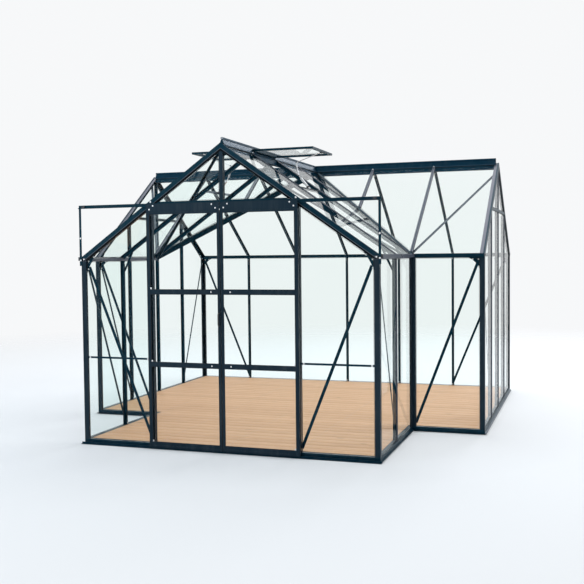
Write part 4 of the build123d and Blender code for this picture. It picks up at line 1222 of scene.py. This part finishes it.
@dataclass
class Cappings(Fitting):
    """Strips that hold the panes' edges along the glazing bars and the gable rafters."""

    bars: tuple[str, ...] = ("wing_roof_bars", "front_slope_bars", "rear_slope_bars", "wing_wall_bars",
                             "side_gable_bars", "rear_wall_bars")
    rafters: tuple[str, ...] = ("front_rafters", "side_gable_rafters")
    bar_nose: float = 0.008
    rafter_nose: float = 0.014
    nose_rise: float = 0.006
    bar_cover: float = 0.0105
    rafter_cover: float = 0.030
    shortest: float = 0.20
    slack: float = 0.0004
    strips: Shape = field(default_factory=Shape)

    def build(self) -> None:
        """Lay both sets of strips."""
        for node in self.bars:
            for face in self._noses(node, self.bar_nose):
                for sense in (1, -1):
                    self._strip(face, sense, self.bar_cover)
        for node in self.rafters:
            for face in self._noses(node, self.rafter_nose):
                middle = Vector((face.middle.x, face.middle.y, 0.0))
                inward = 1 if face.run.cross(face.normal).dot(middle) < 0.0 else -1
                self._strip(face, inward, self.rafter_cover)
        # the strips take the lighter coat as painted sheen
        mount(self.strips.mesh(), "capping_strips", self.palette.strip)

    def _noses(self, node: str, width: float) -> list[Face]:
        """Outer faces of a node's noses.

        Args:
            node: Name of the node.
            width: Width of a nose.

        Returns:
            The faces; each starts with a long edge.
        """
        noses = []
        for face in plain_faces(node):
            lengths = [(face.corners[index - 1] - corner).length for index, corner in enumerate(face.corners)]
            first = lengths.index(max(lengths)) - 1
            turned = Face(face.corners[first:] + face.corners[:first], face.normal, face.area)
            across = turned.run.cross(turned.normal)
            reach = [across.dot(corner) for corner in turned.corners]
            if max(lengths) > self.shortest and abs(max(reach) - min(reach) - width) < self.slack:
                noses.append(turned)
        return noses

    def _strip(self, face: Face, sense: int, cover: float) -> None:
        """Strip beside one nose.

        Args:
            face: The nose's face.
            sense: Which side of the nose, 1 along run x normal.
            cover: Width of pane that the strip covers.
        """
        run, normal = face.run, face.normal
        across = run.cross(normal) * sense
        edge = max(across.dot(corner) for corner in face.corners)
        beside = [corner for corner in face.corners if edge - across.dot(corner) < self.slack]
        reach = sorted(run.dot(corner) for corner in beside)
        length = reach[-1] - reach[0]
        foot = beside[0] + run * (reach[0] - run.dot(beside[0])) - normal * self.nose_rise
        if across.cross(normal).dot(run) < 0.0:
            foot += run * length
        section = [(0.0002, 0.0002), (cover, 0.0002), (cover - 0.0004, 0.0014), (cover - 0.0040, 0.0030),
                   (0.0016, 0.0040), (0.0002, 0.0040)]
        self.strips.prism(section, foot, across, normal, length)


@dataclass
class SlidingDoor(Fitting):
    """Profile lines, bolts, clips and brush seals of one door leaf."""

    sense: int
    body: Body
    front: float = 0.046
    back: float = 0.022
    inner: float = 0.0025
    outer: float = 0.6525
    meeting: float = 0.023
    stile: float = 0.030
    foot: float = 0.012
    top: float = 1.942
    rails: tuple[tuple[float, float], ...] = ((0.012, 0.060), (0.680, 0.720), (1.275, 1.315), (1.926, 1.942))
    rib: float = 0.0035
    rib_rise: float = 0.0014
    lip: float = 0.0005
    rib_round: float = 0.0006
    head_face: float = 0.049
    head_rows: tuple[float, float] = (0.053, 0.023)
    bolt_size: float = 0.82
    roller_level: float = 2.0043
    roller_size: float = 0.70
    clip: tuple[float, float] = (0.011, 0.015)
    brush_start: float = 0.075
    brush_end: float = 0.110
    brush_step: float = 0.006

    def build(self) -> None:
        """Dress the leaf."""
        self._ribs()
        self._bolts()
        self._clips()
        self._brushes()

    def _point(self, x: float, out: float, z: float) -> Vector:
        """Point on this leaf from its distance to the middle, its distance out and its height."""
        return Vector((self.sense * x, PLAN.front - out, z))

    def _strip(self, shape: Shape, x: tuple[float, float], out: tuple[float, float], z: tuple[float, float],
               bevel: float) -> None:
        """Bar between two corners of this leaf.

        Args:
            shape: The shape it is added to.
            x: Its distances to the middle.
            out: Its distances out of the wall.
            z: Its heights.
            bevel: Radius of its edges.
        """
        near, far = sorted(self.sense * side for side in x)
        shape.block((near, PLAN.front - out[1], z[0]), (far, PLAN.front - out[0], z[1]), bevel)

    def _ribs(self) -> None:
        """Raised ribs along the stiles and rails."""
        shape = Shape()
        out = (self.front - self.lip, self.front + self.rib_rise)
        back = self.rib + self.lip
        for low, high in ((self.inner, self.inner + self.meeting), (self.outer - self.stile, self.outer)):
            for x in (low + self.lip, high - back):
                self._strip(shape, (x, x + self.rib), out, (self.foot + 0.001, self.top - 0.001), self.rib_round)
        span = (self.inner + self.meeting, self.outer - self.stile)
        levels = [level for low, high in self.rails[1:3] for level in (low + self.lip, high - back)]
        low, high = self.rails[0]
        for z in (*levels, low + 0.0160, high - back):
            self._strip(shape, span, out, (z, z + self.rib), self.rib_round)
        mount(shape.mesh(), f"{self.body.value}_ribs", self.palette.door_coat, self.body)

    def _bolts(self) -> None:
        """Bolts of the head and of the rails, and the nuts of the rollers."""
        outward = Facing.FRONT.outward
        high, low = (self.top + row for row in self.head_rows)
        places = [(0.067, self.head_face, high), (0.035, self.head_face, low),
                  (self.outer - 0.065, self.head_face, high), (self.outer - 0.032, self.head_face, low)]
        places += [(0.083, self.front, (rail[0] + rail[1]) / 2) for rail in self.rails[1:3]]
        rollers = [(x, self.head_face - 0.004, self.roller_level) for x in (0.0625, self.outer - 0.060)]
        grow_heads(f"{self.body.value}_bolts", Head.BOLT, self.palette.bolt,
                   [Fixing(self._point(*place), outward) for place in places], self.body, self.bolt_size)
        grow_heads(f"{self.body.value}_roller_nuts", Head.NUT, self.palette.bolt,
                   [Fixing(self._point(*place), -outward) for place in rollers], self.body, self.roller_size)

    def _clips(self) -> None:
        """Clips that hold the pane beside the outer stile, above the rails."""
        shape = Shape()
        pane = PLAN.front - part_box(f"{self.body.value}_glass")[0].y
        edge = self.outer - self.stile
        for _, top in self.rails[:3]:
            self._strip(shape, (edge - self.clip[0], edge - self.lip), (pane + 0.0003, pane + 0.0045),
                        (top + 0.001, top + self.clip[1]), 0.0008)
        mount(shape.mesh(), f"{self.body.value}_clips", self.palette.bolt, self.body)

    def _brushes(self) -> None:
        """Brush seals behind both stiles: a carrier and rows of tufts."""
        carrier = Shape()
        tufts = []
        for x in (self.inner + self.meeting / 2, self.outer - self.stile / 2):
            self._strip(carrier, (x - 0.004, x + 0.004), (self.back - 0.0022, self.back + 0.0004),
                        (0.070, self.top - 0.030), 0.0007)
            levels = [self.brush_start + index * self.brush_step
                      for index in range(int((self.top - self.brush_end) / self.brush_step))]
            tufts += [Fixing(self._point(x, self.back - 0.0020, z), Facing.BACK.outward) for z in levels]
        mount(carrier.mesh(), f"{self.body.value}_brush_carriers", self.palette.nylon, self.body)
        grow_heads(f"{self.body.value}_brush_tufts", Head.TUFT, self.palette.rubber, tufts, self.body)


@dataclass
class Handle(Fitting):
    """Bow handle of the left leaf with its two feet."""

    half_width: float = 0.0060
    half_depth: float = 0.0036
    round: float = 0.012
    squareness: float = 0.55
    points: int = 20
    foot_height: float = 0.0045
    foot_rim: float = 0.0009

    def build(self) -> None:
        """Sweep the bow and set its feet; it stands for the plain handle."""
        low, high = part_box("left_door_handle")
        middle, base, crest = (low.x + high.x) / 2, high.y, low.y + self.half_depth
        bottom, top = low.z + self.half_depth + 0.001, high.z - self.half_depth - 0.001
        arc = [(self.round * (1 - math.sin(turn)), self.round * (1 - math.cos(turn)))
               for turn in (math.pi / 2 * step / 6 for step in range(7))]
        path = [(base, bottom)] + [(crest + out, bottom + up) for out, up in arc]
        path += [(crest + up, top - out) for out, up in arc] + [(base, top)]
        turns = [math.tau * step / self.points for step in range(self.points)]
        section = [(self.half_width * self._squared(math.cos(turn)), self.half_depth * self._squared(math.sin(turn)))
                   for turn in turns]
        shape = Shape()
        shape.sweep([Vector((middle, y, z)) for y, z in path], section, Facing.RIGHT.outward)
        half = self.half_depth + self.foot_rim
        for z in (bottom, top):
            shape.block((low.x, base - self.foot_height, z - half), (high.x, base - 0.0001, z + half), 0.0012)
        mount(shape.mesh(), "left_door_bow_handle", self.palette.nylon, Body.LEFT_DOOR, 35.0,
              ("left_door_handle",))

    def _squared(self, value: float) -> float:
        """Sine or cosine of a square section with round corners."""
        return math.copysign(abs(value) ** self.squareness, value)


@dataclass
class Tracks(Fitting):
    """End stops and middle stop in the top track."""

    level: float = 1.9934
    height: float = 0.018
    out: tuple[float, float] = (0.0160, 0.0262)
    far: tuple[float, float] = (1.240, 1.268)
    near: float = 0.028
    rounding: float = 0.0015

    def build(self) -> None:
        """Set the stops."""
        shape = Shape()
        for low, high in (self.far, (-self.far[1], -self.far[0]), (-self.near, self.near)):
            shape.block((low, PLAN.front - self.out[1], self.level),
                        (high, PLAN.front - self.out[0], self.level + self.height), self.rounding)
        mount(shape.mesh(), "track_stops", self.palette.nylon)


@dataclass
class Vents(Fitting):
    """Hinges, screws and self-acting openers of both roof vents."""

    knuckle: float = 0.0034
    knuckle_length: float = 0.048
    knuckle_round: float = 0.0006
    knuckle_x: float = 0.0137
    knuckle_drop: float = 0.0030
    screw_start: float = 0.030
    screw_inset: float = 0.012
    tube: float = 0.0105
    rod: float = 0.0042
    tube_length: float = 0.132
    collar: float = 0.0035
    pin: float = 0.018
    link: float = 0.0040
    link_shift: float = 0.0052
    rod_overlap: float = 0.012
    bend: float = 0.024
    wire: float = 0.0011
    coil: float = 0.0068
    turns: int = 15
    turn_steps: int = 12
    coil_start: float = 0.004
    coil_slack: float = 0.020
    foot: tuple[float, float] = (0.438, -0.3115)
    crown: tuple[float, float] = (0.3305, -0.1752)
    elbow: tuple[float, float] = (0.314, -0.069)
    head_inset: float = 0.013
    head_rise: float = 0.0095
    tubes: Shape = field(default_factory=Shape)
    links: Shape = field(default_factory=Shape)
    brackets: Shape = field(default_factory=Shape)

    def build(self) -> None:
        """Dress both vents."""
        self._hinges()
        self._screws()
        self._openers()

    def _hinges(self) -> None:
        """Row of knuckles along each vent's ridge edge."""
        low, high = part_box("vent_frames")
        shape = Shape()
        count = int((high.y - low.y) / (self.knuckle_length + 0.001))
        step = (high.y - low.y) / count
        wide, small, length = self.knuckle, self.knuckle - self.knuckle_round, step - 2 * self.knuckle_round
        profile = ((0.0, 0.0), (small, 0.0), (wide, self.knuckle_round), (wide, length - self.knuckle_round),
                   (small, length), (0.0, length))
        for sense in (1, -1):
            for index in range(count):
                start = Vector((sense * self.knuckle_x, low.y + step * index + self.knuckle_round,
                                high.z - self.knuckle_drop))
                shape.lathe(profile, start, Facing.BACK.outward)
        mount(shape.mesh(), "vent_hinges", self.palette.coat, smooth=35.0)

    def _screws(self) -> None:
        """Screws at the corners of each vent frame."""
        low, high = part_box("vent_frames")
        inset = self.screw_inset
        grow_heads("vent_screws", Head.SCREW, self.palette.bolt,
                   [Fixing(Vector((sense * x, y, high.z)), UP) for sense in (1, -1)
                    for x in (self.screw_start, high.x - inset) for y in (low.y + inset, high.y - inset)])

    def _openers(self) -> None:
        """Cylinders, rods, cranked links, springs and brackets."""
        low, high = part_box("vent_frames")
        springs = []
        reach = (high.x - self.head_inset, self.head_rise)
        for sense in (1, -1):
            foot, crown, elbow, head = (Vector((sense * x, (low.y + high.y) / 2, PLAN.apex + z))
                                        for x, z in (self.foot, self.crown, self.elbow, reach))
            run = (crown - foot).normalized()
            pin = crown - run * self.rod_overlap
            self._cylinder(foot, run, (crown - foot).length)
            self._crank(pin, elbow, head)
            self._clamps((foot, pin, elbow, head), run)
            springs.append(self._spring(crown, elbow))
        cylinder, bolt = self.palette.cylinder, self.palette.bolt
        mount(self.tubes.mesh(), "opener_cylinders", cylinder, Body.FRAME, 35.0, ("vent_openers",))
        mount(self.links.mesh(), "opener_links", cylinder, Body.FRAME, 35.0)
        mount(self.brackets.mesh(), "opener_brackets", self.palette.nylon, smooth=35.0)
        mount(GROWER.bead(springs, self.wire, bolt), "opener_springs", bolt, Body.FRAME, 60.0)

    def _cylinder(self, foot: Vector, run: Vector, length: float) -> None:
        """Stepped cylinder with its piston rod.

        Args:
            foot: Where it starts.
            run: Its direction.
            length: Length of the cylinder and the rod together.
        """
        tube, rod, end = self.tube, self.rod, self.tube_length
        profile = ((0.0, 0.0), (tube - 0.002, 0.0), (tube, 0.002), (tube, 0.016), (tube - 0.0008, 0.017),
                   (tube - 0.0008, 0.022), (tube, 0.023), (tube, end - 0.014), (tube + 0.0005, end - 0.013),
                   (tube + 0.0005, end - 0.002), (tube - 0.002, end), (rod, end), (rod, length), (0.0, length))
        self.tubes.lathe(profile, foot, run, 28)

    def _crank(self, start: Vector, elbow: Vector, head: Vector) -> None:
        """Pair of flat links that bend at the elbow.

        Args:
            start: The pin at the rod.
            elbow: Where they bend.
            head: The pin at the vent.
        """
        lower, upper = (start - elbow).normalized() * self.bend, (head - elbow).normalized() * self.bend
        path = [start, *(elbow + lower * (1 - share) ** 2 + upper * share ** 2
                         for share in (step / 6 for step in range(7))), head]
        section = [(self.link * 0.9 * x, self.link * 0.55 * y) for x, y in
                   ((1, 0.6), (0.7, 1), (-0.7, 1), (-1, 0.6), (-1, -0.6), (-0.7, -1), (0.7, -1), (1, -0.6))]
        side = Facing.BACK.outward
        for shift in (-self.link_shift, self.link_shift):
            self.links.sweep([point + side * shift for point in path], section, side)

    def _clamps(self, stations: Sequence[Vector], run: Vector) -> None:
        """Brackets at both ends, pins at the joints and a collar on the cylinder.

        Args:
            stations: Foot of the cylinder, pin at the rod, bend of the links and their top at the vent.
            run: Direction of the cylinder.
        """
        foot, pin, elbow, head = stations
        side = Facing.BACK.outward
        for place, radius in ((pin, 0.0042), (elbow, 0.0036), (head - UP * 0.006, 0.0036)):
            self.brackets.lathe(((0.0, 0.0), (radius, 0.0), (radius, self.pin), (0.0, self.pin)),
                                place - side * (self.pin / 2), side)
        tube, wide = self.tube, self.tube + self.collar
        self.brackets.lathe(((0.0, 0.0), (tube, 0.0), (wide, 0.001), (wide, 0.013), (tube, 0.014), (0.0, 0.014)),
                            foot + run * 0.020, run, 20)
        self.brackets.block(foot - Vector((0.016, 0.017, 0.004)), foot + Vector((0.012, 0.017, 0.004)), 0.0012)
        self.brackets.block(head - Vector((0.010, 0.014, 0.0065)), head + Vector((0.010, 0.014, 0.0012)), 0.0010)

    def _spring(self, crown: Vector, elbow: Vector) -> list[Vector]:
        """Line of the coil spring on the lower link.

        Args:
            crown: Start of the link.
            elbow: Its end.

        Returns:
            Points along the wire.
        """
        run = (elbow - crown).normalized()
        side = Facing.BACK.outward
        other = run.cross(side)
        length = (elbow - crown).length - self.coil_slack
        steps = self.turns * self.turn_steps
        angles = [math.tau * step / self.turn_steps for step in range(steps + 1)]
        return [crown + run * (self.coil_start + length * step / steps)
                + (side * math.cos(angle) + other * math.sin(angle)) * self.coil for step, angle in enumerate(angles)]


@dataclass
class Ends(Fitting):
    """Closing plates of the ridges and plugs of the gutters."""

    side: Outline = ((0.0194, -0.012), (0.0194, 0.0008), (0.0052, 0.0392))
    bead: Outline = ((0.0052, 0.0396), (0.0099, 0.0428), (0.0099, 0.0540), (0.0068, 0.0569))
    thickness: float = 0.002
    chamfer: float = 0.0005
    sharpest: float = 0.5
    trough: tuple[float, float] = (0.0102, 0.0394)
    trough_height: tuple[float, float] = (1.5562, 1.5828)
    plug: tuple[float, float] = (0.001, 0.005)
    plug_round: float = 0.0008

    def build(self) -> None:
        """Close the ridges and the gutters."""
        self._ridges()
        self._gutters()

    def _plate(self, shape: Shape, half: Outline, foot: Vector, across: Vector) -> None:
        """Thin plate on the end of a ridge, from the right half of its outline."""
        whole = [*half, *((-x, y) for x, y in reversed(half))]
        shape.prism(whole, foot, across, UP, self.thickness)

    def _ridges(self) -> None:
        """Plates on the ends of both ridges, with a pale plug in the front end of the wing's bead that paints the
        highlight at the bead's end.
        """
        plug, plates = Shape(), Shape()
        front = Vector((0.0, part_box("wing_ridge")[0].y, PLAN.apex))
        self._plate(plates, self.side, front, Facing.RIGHT.outward)
        self._plate(plug, self.bead, front, Facing.RIGHT.outward)
        low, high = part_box("main_ridge")
        for x, sense in ((low.x, -1), (high.x, 1)):
            for half in (self.side, self.bead):
                self._plate(plates, half, Vector((x, PLAN.ridge, PLAN.apex)), Facing.BACK.outward * sense)
        for shape, name, finish in ((plug, "wing_ridge_plug", self.palette.cap),
                                    (plates, "ridge_end_plates", self.palette.coat)):
            edges = [edge for edge in shape.form.edges if edge.calc_face_angle(0.0) > self.sharpest]
            bmesh.ops.bevel(shape.form, geom=edges, offset=self.chamfer, segments=1, profile=0.5, affect="EDGES")
            mount(shape.mesh(), name, finish)

    def _gutters(self) -> None:
        """Plugs in the ends of each gutter's trough."""
        shape = Shape()
        (near, far), (bottom, top), (start, end) = self.trough, self.trough_height, self.plug
        front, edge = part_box("wing_gutters")[0].y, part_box("main_gutters")[1].x
        for sense in (1, -1):
            x = sorted(sense * (PLAN.half_wing + way) for way in (near, far))
            shape.block((x[0], front + start, bottom), (x[1], front + end, top), self.plug_round)
            x = sorted(sense * (edge - way) for way in (start, end))
            for y in (PLAN.inner - far, PLAN.rear + near):
                shape.block((x[0], y, bottom), (x[1], y + far - near, top), self.plug_round)
        mount(shape.mesh(), "gutter_ends", self.palette.nylon)


@dataclass
class Dressing(Fitting):
    """Finishes of the nodes that stay as the frame gives them."""

    rules: tuple[tuple[str, str], ...] = (
        ("_glass$", "glass"), ("_floor$", "timber"), ("_(rollers|handle)$", "nylon"), ("^vent_openers$", "cylinder"),
        # painted sheen: the ridges and the wing gutters take lighter copies of the coat that stand in for sky sheen
        ("_door_|_posts$", "door_coat"), ("_ridge$", "ridge_sheen_coat"), ("^wing_gutters$", "strip"),
        # painted highlight: the roof braces take the lighter coat
        ("^roof_braces$", "rubbed"), ("", "coat"))

    def build(self) -> None:
        """Give every node the finish of the first rule that its name follows."""
        for name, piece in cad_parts.items():
            finish = getattr(self.palette, next(kind for rule, kind in self.rules if re.search(rule, name)))
            for slot in piece.material_slots:
                slot.material = finish
            LOG.info("%s: %s", name, finish.name)


# Studio


@dataclass
class Studio:
    """Pale floor that fades into a pale world, and soft lamps."""

    pale: Colour = (0.93, 0.94, 0.95)
    ground: Colour = (0.86, 0.86, 0.855)
    radius: float = 16.0
    fade_start: float = 3.0
    fade_end: float = 11.0
    sky: Colour = (0.86, 0.93, 1.0)
    sky_strength: float = 0.62
    aim: Point = (0.0, 0.0, 1.2)

    def build(self) -> None:
        """Set the world, the floor and the lamps."""
        self._world()
        self._floor()
        self._lamp("key", (8.5, 3.5, 7.5), 5.0, 330.0, (1.0, 0.97, 0.93))
        self._lamp("fill", (-5.5, -8.5, 5.0), 6.0, 240.0, (0.78, 0.90, 1.0))
        self._lamp("top", (-1.3, 4.6, 12.8), 10.0, 820.0, (0.92, 0.95, 1.0))
        self._lamp("back", (4.5, 13.0, 8.0), 5.0, 520.0, (0.90, 0.92, 1.0))

    def _world(self) -> None:
        """World that lights softly and shows pale to the camera, in gloss and through glass."""
        world = bpy.data.worlds.new("pale world")
        bpy.context.scene.world = world
        world.use_nodes = True
        world.node_tree.nodes.clear()
        tree = Tree(world.node_tree)
        light = tree.add("ShaderNodeLightPath").outputs
        bent = tree.math("MAXIMUM", light["Is Glossy Ray"], light["Is Transmission Ray"])
        ambient = tree.add("ShaderNodeBackground", {"Color": self.sky, "Strength": self.sky_strength})
        shown = tree.add("ShaderNodeBackground", {"Color": self.pale})
        mixed = tree.add("ShaderNodeMixShader", {0: tree.math("MAXIMUM", light["Is Camera Ray"], bent),
                                                 1: ambient.outputs[0], 2: shown.outputs[0]})
        tree.add("ShaderNodeOutputWorld", {"Surface": mixed.outputs[0]})

    def _floor(self) -> None:
        """Disc under the greenhouse; it keeps its shadow and fades out with distance."""
        paint = Paint("pale floor")
        material = paint.finish(self.ground, 0.9, {"Specular IOR Level": 0.1})
        length = paint.add("ShaderNodeVectorMath", {0: paint.place}, operation="LENGTH").outputs["Value"]
        mixed = paint.add("ShaderNodeMixShader", {
            0: paint.span(length, self.fade_start, self.fade_end), 1: paint.shader.outputs[0],
            2: paint.add("ShaderNodeBsdfTransparent").outputs[0]})
        paint.feed(paint.find("OUTPUT_MATERIAL").inputs["Surface"], mixed.outputs[0])
        shape = Shape()
        bmesh.ops.create_circle(shape.form, cap_ends=True, segments=96, radius=self.radius)
        disc = shape.pattern("studio_floor")
        bpy.context.scene.collection.objects.link(disc)
        disc.data.materials.append(material)
        disc.location = (0.0, 0.0, -0.001)

    def _lamp(self, name: str, place: Point, size: float, power: float, colour: Colour) -> None:
        """Square area lamp that looks at the middle of the greenhouse.

        Args:
            name: Its name.
            place: Where it stands.
            size: Length of its side.
            power: Its power in watts.
            colour: Its colour.
        """
        data = bpy.data.lights.new(name, "AREA")
        data.size, data.energy, data.color = size, power, colour
        lamp = bpy.data.objects.new(name, data)
        lamp.location = place
        lamp.rotation_euler = (Vector(self.aim) - lamp.location).to_track_quat("-Z", "Y").to_euler()
        lamp.visible_camera = lamp.visible_transmission = False
        bpy.context.scene.collection.objects.link(lamp)


@dataclass(frozen=True)
class Viewpoint:
    """Camera at the angle that the front and the right side are seen from."""

    place: Point = (2.777, -8.382, 1.588)
    yaw: float = math.radians(-18.674)
    pitch: float = math.radians(2.439)
    roll: float = math.radians(0.588)
    lens: float = 54.17
    sensor: float = 36.0

    def build(self) -> None:
        """Set the camera and make it the scene's."""
        forward = Vector((math.sin(self.yaw) * math.cos(self.pitch), math.cos(self.yaw) * math.cos(self.pitch),
                          -math.sin(self.pitch)))
        level = Vector((math.cos(self.yaw), -math.sin(self.yaw), 0.0))
        above = level.cross(forward)
        right = level * math.cos(self.roll) - above * math.sin(self.roll)
        top = level * math.sin(self.roll) + above * math.cos(self.roll)
        turn = Matrix((right, top, -forward)).transposed().to_4x4()
        data = bpy.data.cameras.new("viewpoint")
        data.sensor_width, data.lens = self.sensor, self.lens
        camera = bpy.data.objects.new("viewpoint", data)
        camera.matrix_world = Matrix.Translation(self.place) @ turn
        bpy.context.scene.collection.objects.link(camera)
        bpy.context.scene.camera = camera


def main() -> None:
    """Dress the frame, add the fittings and set the studio; the pieces' face counts and finishes are logged."""
    logging.basicConfig(level=logging.INFO, format="%(name)s: %(message)s")
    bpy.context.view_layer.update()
    scene = bpy.context.scene
    scene.view_settings.view_transform = "Standard"
    scene.cycles.max_bounces = BOUNCES
    scene.cycles.transmission_bounces = BOUNCES
    scene.cycles.transparent_max_bounces = BOUNCES
    Viewpoint().build()
    Studio().build()
    palette = Palette()
    for fitting in (Dressing(palette), Floors(palette), Glazing(palette), Fastenings(palette), Rafters(palette),
                    Cappings(palette), WingBraces(palette), Tracks(palette),
                    SlidingDoor(palette, -1, Body.LEFT_DOOR), SlidingDoor(palette, 1, Body.RIGHT_DOOR),
                    Handle(palette), Vents(palette), Ends(palette)):
        fitting.build()


if __name__ == "__main__":
    main()
